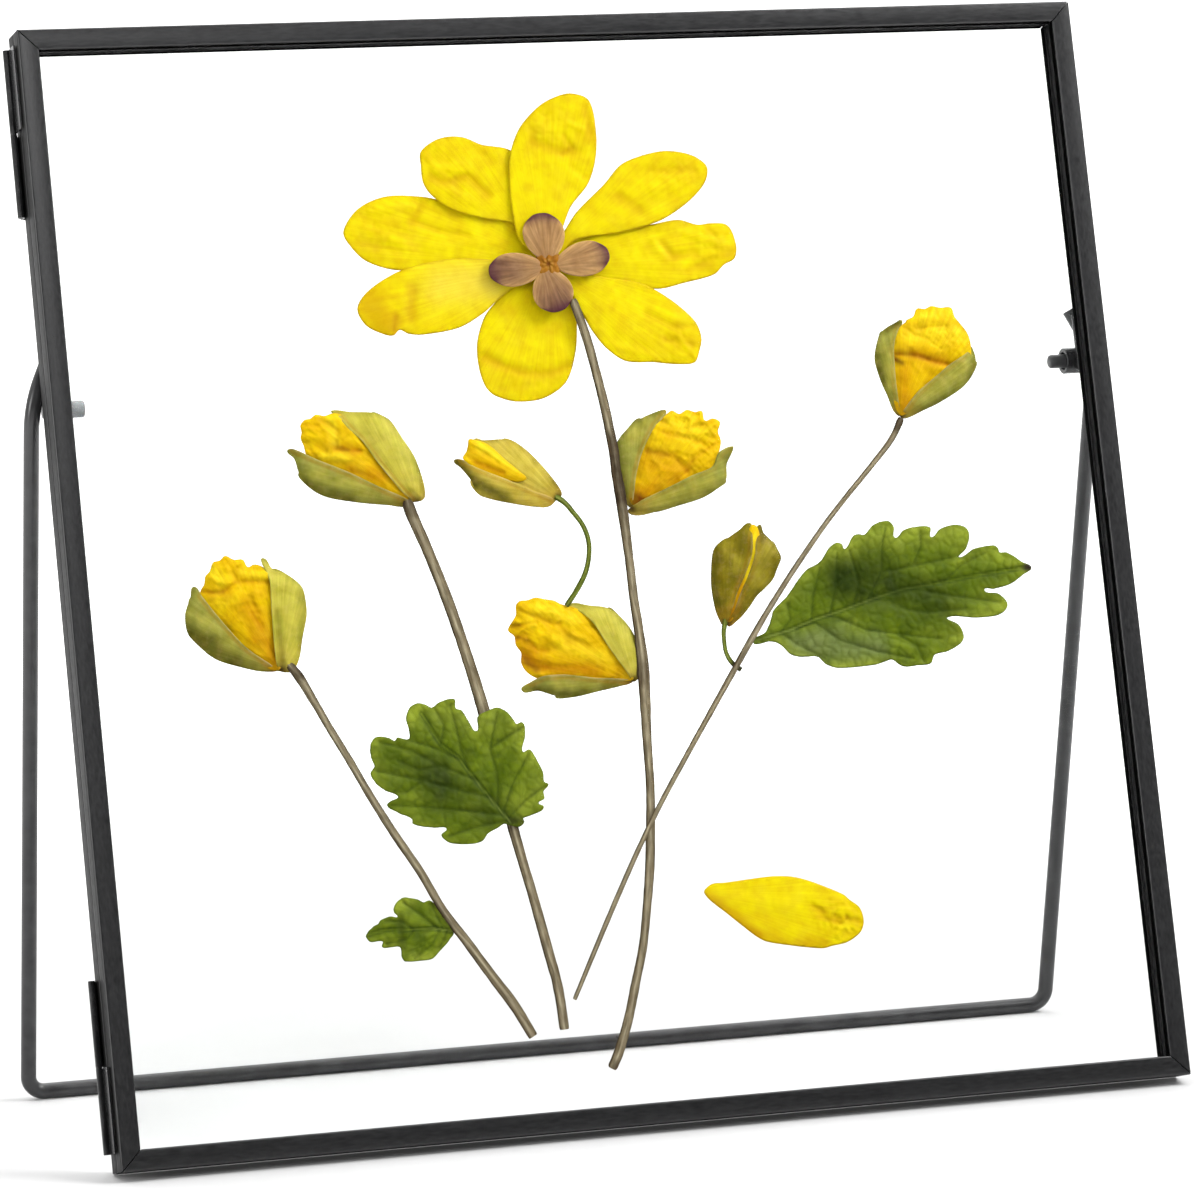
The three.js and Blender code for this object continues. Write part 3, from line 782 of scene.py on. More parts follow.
def dried_tissue(name, ground, layers, veins, vein_depth=0.12, count=60.0, gloss=0.62, bump_height=0.00006):
    """Dried plant tissue: a ground colour, then patches laid over it by mask, then fanned veins.
    Each layer is (mask, colour, size, unevenness)."""
    def tone(colour):
        return (*(TISSUE_TONE * value for value in rgb(*colour)[:3]), 1.0)

    tissue = bpy.data.materials.new(name)
    nodes, link = nodes_of(tissue)
    shader = nodes.new("ShaderNodeBsdfPrincipled")
    shader.inputs["Specular IOR Level"].default_value = 0.04
    shader.inputs["Roughness"].default_value = gloss
    streaks = effect(nodes, fanned_veins, {"Count": count})
    ground_patches = effect(nodes, dried_patches, {"Mask": 0.5, "Size": 350.0, "Unevenness": 1.6})
    colour = ramp(nodes, link, ground_patches.outputs[0], ((0.2, tone(ground[0])), (0.8, tone(ground[1]))))
    for mask, tint, size, unevenness in layers:
        value = nodes.new("ShaderNodeAttribute")
        value.attribute_name = mask
        patches = effect(nodes, dried_patches, {"Size": size, "Unevenness": unevenness})
        over = nodes.new("ShaderNodeMix")
        over.data_type = "RGBA"
        over.inputs[7].default_value = tone(tint)
        link(value.outputs["Fac"], patches.inputs["Mask"])
        link(patches.outputs[0], over.inputs[0])
        link(colour, over.inputs[6])
        colour = over.outputs[2]
    lines = nodes.new("ShaderNodeMix")
    lines.data_type = "RGBA"
    lines.blend_type = "MULTIPLY"
    lines.inputs[7].default_value = rgb(*veins)
    link(spread(nodes, link, streaks.outputs[0], -vein_depth, 2.4 * vein_depth), lines.inputs[0])
    link(colour, lines.inputs[6])
    bump = nodes.new("ShaderNodeBump")
    bump.inputs["Strength"].default_value = 0.6
    bump.inputs["Distance"].default_value = bump_height
    out = nodes.new("ShaderNodeOutputMaterial")
    link(lines.outputs[2], shader.inputs["Base Color"])
    link(streaks.outputs[0], bump.inputs["Height"])
    link(bump.outputs[0], shader.inputs["Normal"])
    link(shader.outputs[0], out.inputs["Surface"])
    return tissue


# The ochre_and_shade layer paints ochre bruises together with shade in creases and hollows.
petal_tissue = dried_tissue(
    "dried yellow petal", ((238, 214, 0), (254, 240, 0)),
    (("ochre_and_shade", (212, 164, 0), 300.0, 0.4), ("pale", (248, 224, 88), 250.0, 0.3),
     ("rim", (190, 150, 0), 600.0, 0.4)),
    veins=(220, 186, 20), vein_depth=0.22, count=55.0)

SHEETS = (2.75, 3.45, 4.15, 4.85)
HEART = (99.1, 162.8)


def petal(name, sheet, foot, tip, outline, creases=(), ochre_and_shade=(), pale=(), crumpled=(), wrinkle=0.1,
          seed=0.0):
    """One petal. Creases stand up or sink in. ochre_and_shade marks ochre bruises and painted shade in
    creases, and pale marks bleached places. A crumpled place is its middle, how far it reaches and
    how strongly it puckers."""
    def puckers(spots):
        return strokes(spots, crumpled) * (0.8 * folds(spots, 2.4, seed + 11)
                                           + 0.5 * folds(spots, 1.2, seed + 12))

    def raise_by(spots, edge, angle, out):
        dome = 0.16 * (1 - np.exp(-edge / 1.4)) * np.clip(out * 1.5, 0, 1)
        ribs = 0.03 * np.sin(angle * 26 + 2 * rough(spots, 9, seed + 7, 2)) * np.clip(out, 0, 1)
        lumps = wrinkle * (0.7 * rough(spots, 4.5, seed, 3) + 0.5 * folds(spots, 6.5, seed + 3) * out)
        room = 0.26 + 0.3 * np.clip((np.linalg.norm(spots - HEART, axis=1) - 18) / 14, 0, 1)
        return np.clip(dome + ribs + lumps + 0.85 * strokes(spots, creases) + puckers(spots), -room, room)

    def marks(spots, edge, angle, out):
        # Besides the given strokes, which mostly run along sunk creases, this paints shade into sunk creases,
        # hollows, pucker valleys and round the heart; the tips turn a deeper gold.
        sunk = np.clip(-strokes(spots, creases) * 1.1, 0, 1)
        hollow_shade = np.clip(-rough(spots, 4.5, seed, 3) - 0.1, 0, 1) * wrinkle * 2
        return {
            "ochre_and_shade": (strokes(spots, ochre_and_shade) + sunk + hollow_shade + 0.1 * np.exp(-out * 2.2)
                      + np.clip(-puckers(spots) * 3, 0, 0.5)
                      + 0.2 * np.clip((out - 0.6) * 2.5, 0, 1)),
            "pale": strokes(spots, pale),
            "rim": 0.55 * np.exp(-((edge / 0.28) ** 2)),
        }

    piece = sheet_of(name + "_pressed", outline, SHEETS[sheet], raise_by, marks, foot, tip)
    piece.data.materials.append(petal_tissue)
    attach(piece, "back_frame")
    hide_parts(name)


petal("petal_right", 3, HEART, (137, 165),
      [(104.5, 168), (112.9, 169.3), (120.3, 169.7), (125.9, 170.4), (129.7, 169.3), (132.4, 169.5),
       (135.8, 168.9), (137.1, 165.1), (136.5, 162.5), (134.2, 161.3), (132, 159.5), (125.7, 158.1),
       (120.6, 157.2), (112.5, 158.4), (106.6, 160.5), (100.9, 162.2), (100.6, 163.8)],
      creases=[((122, 165.9), (124, 163.3), (128.5, 163.8), 0.9, -0.3),
               ((120.5, 166.6), (122.4, 163.2), 0.9, 0.22), ((127.3, 167.6), (134.8, 165.2), 0.8, 0.24),
               ((132.3, 162.6), (126.5, 160.4), 0.7, -0.2), ((109, 162.6), (121, 161.8), 1.2, 0.12),
               ((131.5, 168.8), (133.5, 166), 0.6, -0.16)],
      ochre_and_shade=[((122.5, 165.8), (124.5, 163.2), 1.4, 0.22), ((131, 160.8), (136, 163.5), 1.4, 0.15),
             ((113, 159.3), (121, 158), 1.0, 0.1)],
      crumpled=[((133, 165.5), 4.5, 0.14)], wrinkle=0.15, seed=1.0)
petal("petal_upper_right", 2, HEART, (132.5, 181),
      [(103.3, 169.6), (105.8, 172.7), (111.8, 177.8), (115.5, 181.4), (120.1, 183.1), (124.6, 183.8),
       (128.4, 183.3), (131.1, 182.2), (132.9, 180.2), (131.9, 177.1), (128, 173.5), (122, 170.2),
       (113.6, 168.3), (105, 167.2), (100.8, 163.8), (100, 165)],
      creases=[((114.5, 175.5), (118.4, 172.2), 1.2, -0.26), ((122, 180.1), (130.3, 179.8), 0.8, -0.22),
               ((121.6, 176.4), (128, 177.5), 1.2, 0.24), ((111, 170.4), (117, 170.2), 0.9, 0.1),
               ((116.5, 180), (122, 182), 1.0, 0.14)],
      ochre_and_shade=[((114.5, 174.8), (118.2, 172.4), 1.6, 0.22), ((122, 180.6), (130, 180), 1.4, 0.14)],
      crumpled=[((127, 180.5), 5, 0.12)], wrinkle=0.12, seed=2.0)
petal("petal_lower_right", 2, HEART, (127, 145),
      [(102.6, 158.4), (103.3, 155.9), (104.7, 153.2), (106.5, 149.5), (109, 146.1), (112.5, 143.6),
       (118, 143.1), (122.8, 142.5), (126.2, 142.7), (127.3, 144.6), (128.1, 147.4), (127.1, 150.7),
       (122.6, 155.1), (116.9, 158.5), (107.6, 160.4), (101.2, 163), (100.2, 161.4)],
      creases=[((117.4, 152.6), (123.1, 149.7), (126.6, 149.8), 0.7, -0.22),
               ((121, 147.2), (126.1, 146.2), 0.6, -0.24), ((123.4, 148), (126.5, 143.6), 0.5, 0.24),
               ((110.6, 146.6), (118, 144.2), 0.8, 0.18), ((107, 156), (116, 149), 2.2, 0.14)],
      ochre_and_shade=[((113, 151.5), (120.5, 146.6), 2.4, 0.14), ((107.4, 150), (112.5, 145.4), 1.0, 0.16),
             ((122.8, 149.8), (125.6, 146), 1.4, 0.2)],
      crumpled=[((123, 146.5), 4.5, 0.14)], wrinkle=0.13, seed=3.0)
petal("petal_bottom", 3, HEART, (92, 137),
      [(90.6, 158.2), (87.4, 155.6), (85.3, 153.2), (83.4, 148.4), (83.3, 143.6), (84.2, 140.1),
       (85.8, 138.3), (90, 136.9), (95.5, 137.3), (100.2, 140.2), (102.7, 145.9), (103.6, 151.7),
       (104, 155.4), (100.9, 161.4), (98.1, 161.4)],
      creases=[((84.4, 145.7), (88.5, 143.6), (91.7, 142.3), (97.1, 141.9), (101.6, 143.3), 0.9, -0.3),
               ((84.6, 148.2), (91.4, 146), (99, 145.8), 1.5, 0.24),
               ((87, 139.5), (91, 139.8), 0.7, -0.14)],
      ochre_and_shade=[((88.8, 142.6), (92.5, 141.6), (98, 141.6), (101.5, 143), 1.2, 0.14),
             ((84.4, 145.2), (87, 144.2), 1.0, 0.14)],
      crumpled=[((93, 140), 5, 0.1)], wrinkle=0.09, seed=4.0)
petal("petal_lower_left", 2, HEART, (62, 155),
      [(91.4, 158.4), (88.4, 156.4), (85.3, 154), (80.2, 151.4), (73, 150.4), (70.2, 150.7), (68.6, 151.5),
       (67.3, 150.5), (65.7, 150.7), (62.1, 152.7), (60.8, 156.1), (63.8, 159.6), (70.6, 163),
       (79.9, 164.6), (90, 164), (97.6, 163.4), (97.9, 162)],
      creases=[((71.9, 159.6), (71.3, 153.4), 1.1, -0.3), ((68.1, 154.2), (67.5, 151.4), 0.5, -0.26),
               ((66.2, 160), (65.4, 153), 1.2, 0.22), ((75, 156), (84, 157.5), 1.6, 0.12),
               ((63.5, 158.4), (66.4, 160.2), 0.6, -0.14)],
      ochre_and_shade=[((71.7, 158.2), (71.1, 153.8), 1.6, 0.12), ((68.2, 154), (67.8, 151.8), 0.8, 0.25),
             ((63.4, 157), (65.6, 152.6), 3.2, 0.5)],
      pale=[((78, 159.5), (86.5, 160.5), 4.2, 0.55), ((88, 158.5), 2.6, 0.35)],
      crumpled=[((67, 154.5), 4.5, 0.14)], wrinkle=0.08, seed=5.0)
petal("petal_left", 3, HEART, (60, 170),
      [(94, 162.9), (86.4, 163.2), (77, 163.1), (69.1, 162.9), (63.3, 164.9), (60.4, 168.1), (59.5, 170.7),
       (62.7, 174.8), (68.3, 177), (75.7, 176.7), (80, 175.6), (86, 173.8), (93.4, 170.6), (97.9, 165),
       (97.5, 163)],
      creases=[((65.4, 174.2), (73.5, 175), 0.8, 0.18), ((64, 171.1), (70.6, 168.2), 1.0, 0.24),
               ((73.1, 172.2), (78.3, 169.9), (84, 169), 0.7, -0.24), ((62, 168.6), (70, 166.4), 0.9, -0.2),
               ((75.8, 175.8), (73, 171.5), 0.8, -0.2), ((76, 167), (90, 167.4), 0.9, 0.14)],
      ochre_and_shade=[((67, 171.6), (76, 171), 1.8, 0.12), ((76.3, 176), (81.3, 172.6), 1.1, 0.24)],
      crumpled=[((67, 171.5), 6, 0.1)], wrinkle=0.15, seed=6.0)
petal("petal_upper_left", 2, HEART, (76, 182.5),
      [(93.3, 170.6), (87.2, 172.1), (81.4, 173.9), (77.4, 176.9), (76, 179.4), (75.9, 182.6),
       (76.1, 185.2), (79, 187.3), (82, 188), (85, 187.7), (88.1, 186.3), (94.5, 184.4), (96.5, 176),
       (99.3, 165.5), (97.9, 165)],
      creases=[((77.8, 180.2), (80.5, 179.2), (84.8, 180.4), (88.5, 176.5), 0.8, -0.3),
               ((79, 182), (84.4, 181.8), 1.0, 0.26), ((76.8, 184.8), (79.4, 181), 0.6, 0.2),
               ((81.4, 177.4), (86.6, 174.6), 0.8, 0.2), ((86, 186), (90, 183), 0.9, -0.12)],
      ochre_and_shade=[((79, 178.4), (84.5, 179.4), (88, 176.8), 1.3, 0.15), ((88.4, 186), (92.6, 183.6), 1.0, 0.2)],
      crumpled=[((82, 181), 5, 0.1)], wrinkle=0.12, seed=7.0)
petal("petal_top", 1, HEART, (105, 195.4),
      [(95.4, 165.8), (93.7, 168), (93, 173), (92.9, 177.3), (93.6, 183.7), (96, 189), (100.2, 193.1),
       (103.8, 194.9), (107.1, 195.5), (110.5, 194), (111.3, 187.9), (110.6, 182.6), (108.6, 177.9),
       (104.7, 173.6), (102.3, 168.8), (100, 164), (98.4, 164)],
      creases=[((98, 190.6), (98.6, 186.4), 0.8, -0.16),
               ((104.7, 187.4), (106, 184.9), (104, 183.8), 0.6, -0.28),
               ((98.5, 186.2), (103, 184.6), (107.1, 184.3), 1.1, -0.24),
               ((99.5, 190.4), (100.8, 188.6), 1.3, 0.26),
               ((103, 188.4), (105.6, 189.8), (108.6, 188.4), 0.6, 0.22),
               ((109.6, 192.7), (110.2, 187.5), 0.6, -0.18), ((106, 181), (108.4, 179), 0.8, -0.18)],
      ochre_and_shade=[((99, 185.6), (103.6, 184.4), (107.4, 184.4), 1.4, 0.12),
             ((109.2, 193), (110.4, 186.5), 1.0, 0.2)],
      crumpled=[((102, 189), 5, 0.12)], wrinkle=0.1, seed=8.0)

petal("loose_petal", 1, (117.5, 42), (148, 35),
      [(117, 42.1), (118.6, 43.7), (121.4, 43.8), (126.2, 44.1), (130.9, 44.3), (134.4, 44), (137, 43.3),
       (140.2, 42), (144.7, 39.8), (145.7, 38.8), (147.5, 37.3), (148.1, 35.7), (148.1, 34.1),
       (147.2, 32.4), (144.4, 30.8), (141.2, 30.3), (139.5, 30), (136.4, 30.4), (133.2, 31), (128.4, 32.1),
       (126.6, 33.1), (124.6, 34.8), (121.4, 37.7)],
      creases=[((138.2, 38.2), (140, 37), (143, 35.6), (147.3, 34.4), 0.5, -0.3),
               ((139.6, 36), (143.5, 34.4), 0.5, -0.2),
               ((141, 37.3), (144.4, 38), (147, 36.6), 0.45, -0.16),
               ((141.4, 36.4), (145.5, 36), 0.6, 0.24), ((120, 41), (134, 38.6), 1.4, 0.12),
               ((122, 38.6), (133, 35.6), 0.9, -0.06)],
      ochre_and_shade=[((118.6, 40.6), (122.5, 37), (126, 33.6), 1.5, 0.75),
             ((126, 33.6), (133, 31.6), (140, 30.8), 1.2, 0.5), ((129, 36.6), (137, 34.8), 1.5, 0.16),
             ((139.6, 36.8), (143, 35), 1.2, 0.25), ((117.6, 42), 1.0, 0.35)],
      crumpled=[((143.6, 35.6), 3.8, 0.5)], wrinkle=0.08, seed=9.0)


# ---- Pods and heart ----
# Four small brown seed-pod husks and a crumpled orange heart, dried flat on the feet of the
# petals. The husks are thin and veined, with purple tips.
husk_tissue = dried_tissue(
    "dried husk", ((192, 148, 94), (210, 168, 112)),
    (("pale", (228, 182, 116), 500.0, 0.3), ("dark", (110, 72, 68), 450.0, 0.5),
     ("tip", (92, 46, 68), 500.0, 0.3)),
    veins=(112, 70, 66), vein_depth=0.34, count=16.0, gloss=0.5, bump_height=0.00008)

HUSK_DEPTH = 2.76
HEART_DEPTH = 2.92
HEART_RIM = (2.2, 2.6, 2.9, 2.5, 2.2, 2.5, 2.9, 2.6, 2.1, 2.5, 2.9, 2.4, 2.2, 2.6, 2.9, 2.5)


def husk(name, centre, reach, tip_way, half_width, shade):
    """An egg-shaped husk: broadest towards its tip, domed, and ribbed from the heart outwards."""
    tip_way = np.array(tip_way, float) / np.linalg.norm(tip_way)
    side_way = np.array([-tip_way[1], tip_way[0]])
    centre = np.array(centre, float)
    turns = np.arange(20) * math.pi / 10
    outline = [centre + tip_way * reach * math.cos(t) * (1.05 if math.cos(t) > 0.9 else 1)
               + side_way * half_width * math.sin(t) * (1 + 0.16 * math.cos(t)) for t in turns]

    def raise_by(spots, edge, angle, out):
        dome = 0.34 * (1 - np.exp(-edge / 1.1))
        ribs = 0.05 * np.cos(angle * 22) * (1 - np.exp(-edge / 0.6))
        return dome + ribs + 0.05 * rough(spots, 1.6, centre[0], 3)

    def marks(spots, edge, angle, out):
        far = (spots - centre) @ tip_way / reach
        purple = np.clip(1.3 * (far - 0.45) / 0.5, 0, 0.95)
        return {
            "pale": 0.9 * np.exp(-((edge / 0.5) ** 2)) * (far < 0.7) + 0.35 * np.exp(-((edge / 0.9) ** 2)),
            "dark": shade * (0.5 + 0.5 * far) * (1 - np.exp(-edge / 0.8))
            + 0.3 * np.exp(-(((far + 1) / 0.3) ** 2)),
            "tip": purple * (0.35 + 0.65 * np.exp(-((edge / 1.2) ** 2))),
        }

    foot = centre - tip_way * reach
    piece = sheet_of(name + "_dried", outline, HUSK_DEPTH, raise_by, marks,
                     foot, foot + 2 * tip_way * reach, cell=0.24, back=1.4)
    piece.data.materials.append(husk_tissue)
    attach(piece, "back_frame")
    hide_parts(name)


husk("pod_top", (98.8, 168), 4.4, (-0.05, 1), 4.1, 0.25)
husk("pod_right", (105.9, 163.4), 5.3, (1, 0.18), 3.3, 0.3)
husk("pod_bottom", (99.3, 157.8), 4.1, (0.26, -1), 4.0, 1.0)
husk("pod_left", (92.7, 162), 5.3, (-1, -0.06), 3.2, 1.0)

heart_tissue = dried_tissue(
    "dried heart", ((168, 106, 22), (194, 136, 46)),
    (("dark", (104, 52, 12), 700.0, 0.5), ("pale", (206, 156, 64), 700.0, 0.4)),
    veins=(130, 70, 20), vein_depth=0.3, count=9.0, bump_height=0.00008)


def heart_raise(spots, edge, angle, out):
    """A low dome with seven folds round a sunk middle."""
    way = np.arctan2(spots[:, 1] - HEART[1], spots[:, 0] - HEART[0])
    far = np.linalg.norm(spots - HEART, axis=1)
    dome = 0.4 * (1 - np.exp(-edge / 0.5))
    around = 0.13 * np.cos(way * 7 + 1.6 * far) * np.exp(-((far - 1.1) ** 2))
    return dome + around - 0.2 * np.exp(-((far / 0.35) ** 2))


def heart_marks(spots, edge, angle, out):
    far = np.linalg.norm(spots - HEART, axis=1)
    return {"dark": 0.9 * np.exp(-((far / 0.4) ** 2)) + 0.4 * np.exp(-((edge / 0.3) ** 2)),
            "pale": 0.5 * np.exp(-(((far - 0.8) / 0.25) ** 2))}


heart_outline = [(HEART[0] + far * math.cos(t * math.pi / 8), HEART[1] + far * math.sin(t * math.pi / 8))
                 for t, far in enumerate(HEART_RIM)]
heart = sheet_of("flower_heart_dried", heart_outline, HEART_DEPTH, heart_raise, heart_marks,
                 (HEART[0], 160), (HEART[0], 165), cell=0.16, back=0.5)
heart.data.materials.append(heart_tissue)
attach(heart, "back_frame")
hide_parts("flower_heart")


# ---- Stems ----
# The flower's long stem, three bare stems and two short green stalks. Each was a ribbed
# round stem, and pressing and drying has made it flat, grooved and beige.
STEM_STEP = 0.45
STEM_SIDES = 24
END_TAPER = (0.7, 0.93, 1)
LIE_STEP = 0.05


def stem_tissue(name, ground, light, edge, groove, dark):
    """Dried tissue for a stem: a painted highlight along its front, painted shade down its edges, and dark
    grooves along it.
    """
    return dried_tissue(name, ground, (("light", light, 900.0, 0.35), ("edge", edge, 900.0, 0.4),
                                       ("dark", dark, 500.0, 0.4)),
                        veins=groove, vein_depth=0.5, count=13.0, gloss=0.55, bump_height=0.0001)


dry_stem = stem_tissue("dried beige stem", ((150, 134, 104), (176, 162, 130)), (206, 196, 164),
                       (70, 56, 34), (84, 68, 42), (60, 42, 26))
green_stalk = stem_tissue("dried green stalk", ((108, 124, 34), (132, 146, 52)), (166, 172, 84),
                          (74, 86, 24), (80, 92, 26), (54, 46, 26))


def stem(name, depth, thickness, points, tissue, dark=(), ribs=5, seed=0.0):
    """A pressed stem along (x, z, width) points, swept as a flat ribbed oval and closed at both ends."""
    points = np.array(points, float)
    reach = np.concatenate([[0], np.cumsum(np.linalg.norm(np.diff(points[:, :2], axis=0), axis=1))])
    slope = np.gradient(points, reach, axis=0)
    line = []
    for at in [*np.arange(0, reach[-1], STEM_STEP), reach[-1]]:
        i = min(np.searchsorted(reach, at, "right") - 1, len(points) - 2)
        span = reach[i + 1] - reach[i]
        t = (at - reach[i]) / span
        line.append((2 * t**3 - 3 * t**2 + 1) * points[i] + (t**3 - 2 * t**2 + t) * span * slope[i]
                    + (3 * t**2 - 2 * t**3) * points[i + 1] + (t**3 - t**2) * span * slope[i + 1])
    line = np.array(line)
    way = np.gradient(line[:, :2], axis=0)
    way /= np.linalg.norm(way, axis=1)[:, None]
    around = STEM_SIDES
    verts, faces, lie, light, edge = [], [], [], [], []
    for i, ((x, z, width), (wx, wz)) in enumerate(zip(line, way)):
        taper = END_TAPER[min(i, len(line) - 1 - i, 2)]
        width *= 0.5 * (1 + 0.05 * noise.noise(Vector((i * 0.22, seed, 0)))) * taper
        twist = 0.5 * noise.noise(Vector((i * 0.035, seed, 5)))
        for k in range(around):
            turn = k * 2 * math.pi / around
            rib = 1 + 0.09 * math.cos(ribs * (turn + twist))
            rib += 0.03 * noise.noise(Vector((i * 0.4, k * 0.8, seed)))
            over, front = math.cos(turn) * width * rib, math.sin(turn) * thickness / 2 * (1 + 1.6 * (rib - 1))
            verts.append(laid(x + wz * over, z - wx * over, depth - front))
            # The light mask is a painted highlight along the round stem's front, and the edge mask is painted
            # shade down its two sides.
            light.append(max(0.0, math.cos(2.5 * (turn + twist * 0.6 - math.pi / 2))) ** 6 * 0.75)
            edge.append(abs(math.cos(turn)) ** 3)
    for i in range(len(line) - 1):
        for k in range(around):
            a, b = i * around + k, i * around + (k + 1) % around
            faces.append((a, b, b + around, a + around))
            u, next_u, v = k / around, (k + 1) / around, i * LIE_STEP
            lie.append([(u, v), (next_u, v), (next_u, v + LIE_STEP), (u, v + LIE_STEP)])
    last = (len(line) - 1) * around
    faces += [tuple(range(around - 1, -1, -1)), tuple(range(last, last + around))]
    lie += [[(0.3 + 0.01 * k, 0) for k in range(around)]] * 2
    mesh = bpy.data.meshes.new(name)
    mesh.from_pydata(verts, [], faces)
    uv = mesh.uv_layers.new(name="lie")
    uv.data.foreach_set("uv", np.array([c for face in lie for c in face], np.float32).ravel())
    flat = np.repeat(line[:, :2], around, 0)
    for mask, values in (("light", light), ("edge", edge), ("dark", strokes(flat, dark))):
        store_mask(mesh, mask, values)
    mesh.transform(LEANING)
    piece = bpy.data.objects.new(name + "_pressed", mesh)
    bpy.context.scene.collection.objects.link(piece)
    pick(piece, "faces", lambda at, way: False)
    bpy.ops.mesh.select_all(action="SELECT")
    bpy.ops.mesh.normals_make_consistent(inside=False)
    bpy.ops.object.mode_set(mode="OBJECT")
    bpy.ops.object.shade_smooth_by_angle(angle=math.radians(50))
    mesh.materials.append(tissue)
    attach(piece, "back_frame")
    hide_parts(name)


# The main stem's first dark mark is painted shadow of the middle bud's sepal beside it; the second darkens
# the joint at that bud's foot.
stem("main_stem", 3.52, 0.62,
     [(103.2, 155.9, 1.7), (104.6, 150.6, 1.75), (105.7, 145.6, 1.8), (106.9, 138, 1.8), (107.7, 132, 1.9),
      (108.2, 127, 2), (108.5, 121, 2.2), (108.8, 115.3, 2.1), (109.1, 105, 1.75), (109.2, 98.1, 1.8),
      (109.5, 92.5, 1.9), (109.6, 84.7, 2.4), (109.4, 80, 2.2), (108.9, 72, 1.8), (108.6, 63.3, 1.7),
      (107.9, 56, 1.8), (107, 49.1, 1.85), (105.6, 41, 1.7), (103.6, 32.1, 1.65), (101.7, 26.4, 1.7),
      (98.6, 17.4, 1.8), (96.8, 13.4, 1.9), (95.4, 11, 1.9)],
     dry_stem, dark=[((109, 129), (108.9, 118), 2.2, 0.75), ((109.8, 116), (109, 112.5), 1.5, 0.4),
                     ((109.8, 86), (109.7, 82.6), 1.2, 0.35), ((96, 12), (95.4, 10.8), 1.0, 0.5)],
     seed=11.0)
stem("thin_stem", 2.7, 0.5,
     [(166.9, 130, 1.4), (165.1, 127, 1.2), (160, 121.4, 1.05), (153.9, 115.4, 1.0), (148.6, 109.9, 1.0),
      (143.4, 104, 1.05), (136.4, 95.5, 1.1), (132, 89.7, 1.25), (128, 84.2, 1.2), (118.7, 71.4, 1.05),
      (109.6, 58.5, 1.0), (104.8, 51, 1.0), (100.4, 43.6, 1.0), (94.9, 34, 0.95), (89.5, 24.4, 0.8)],
     dry_stem, dark=[((166.8, 130.4), (165.6, 128), 0.9, 0.7), ((129.5, 86.2), (127.5, 83.6), 1.0, 0.3)],
     seed=12.0)
stem("middle_stem", 3.52, 0.75,
     [(66.8, 119.4, 1.9), (67, 118.3, 2.2), (68.1, 114.6, 2.2), (69.5, 110.7, 2.15), (71.2, 105.4, 2.15),
      (72.7, 100.2, 2.2), (74.2, 94.5, 2.2), (75.5, 88.8, 2.2), (77.1, 81.6, 2.4), (78.6, 72, 2.2),
      (79.8, 64, 2.1), (80.9, 57.5, 2.1), (82.1, 51, 1.9), (83.3, 45.2, 1.9), (85.2, 34.6, 1.95),
      (86.5, 27.4, 1.9), (87, 19, 1.85)],
     dry_stem, dark=[((67, 118.8), (67.8, 117), 1.0, 0.6), ((80.6, 58.6), (80.9, 56), 1.4, 0.35)],
     seed=13.0)
stem("left_stem", 3.52, 0.7,
     [(41, 90.2, 1.5), (41.9, 89, 1.7), (45.2, 82.8, 1.5), (48.2, 76.7, 1.45), (51.5, 70.2, 1.45),
      (54.6, 63.9, 1.5), (58.2, 57.2, 1.6), (62.2, 50.3, 1.6), (66, 42.6, 1.6), (70.7, 35.3, 1.8),
      (74.5, 29.2, 1.9), (77.9, 24, 2), (80.8, 18.2, 1.8)],
     dry_stem, dark=[((41.7, 89.6), (42.7, 87.6), 0.9, 0.6), ((65.4, 44.4), (67.4, 41), 1.2, 0.3)],
     seed=14.0)
stem("curled_stalk", 3.42, 0.6,
     [(95.7, 118.5, 1.15), (96.6, 118, 1.15), (97.8, 116.9, 1.0), (98.8, 115.5, 0.95), (100.6, 112.7, 0.95),
      (101.4, 109.5, 0.95), (101.1, 106.6, 0.95), (100.1, 103.7, 1.0), (98, 100.5, 1.0), (95.7, 97.7, 1.0)],
     green_stalk, dark=[((96, 98.2), (95.4, 97.2), 0.8, 0.3)], seed=15.0)
stem("short_stalk", 3.4, 0.5,
     [(126.9, 93.4, 1.0), (126.7, 92.5, 1.0), (126.3, 91, 0.9), (126.2, 89.5, 0.85), (126.4, 86.8, 0.85),
      (127.5, 84.8, 0.95), (129, 83.6, 1.0)],
     green_stalk, dark=[((127.8, 84.6), (129.2, 83.4), 0.9, 0.9)], seed=16.0)


# ---- Leaves ----
# Three lobed green leaves, pressed while fresh. The midrib and the side veins lie sunk
# between soft puckers, and a finer net of veins fills the blade. Painted shade darkens the
# sunk side veins, the flanks of the midrib and the sunk net.
leaf_tissue = dried_tissue(
    "pressed leaf", ((88, 108, 8), (112, 132, 18)),
    (("yellow", (166, 180, 56), 260.0, 0.5), ("dark", (40, 55, 2), 260.0, 0.5),
     ("grey", (132, 144, 86), 300.0, 0.4),
     ("net", (52, 70, 4), 900.0, 0.2), ("vein", (42, 60, 4), 900.0, 0.2),
     ("rib", (140, 152, 80), 900.0, 0.2),
     ("rim", (72, 90, 12), 900.0, 0.2), ("tip", (50, 30, 36), 600.0, 0.2)),
    veins=(76, 94, 16), vein_depth=0.1, count=40.0, gloss=0.52, bump_height=0.00005)


NET_CELL = 2.1
NET_LINE = 0.16


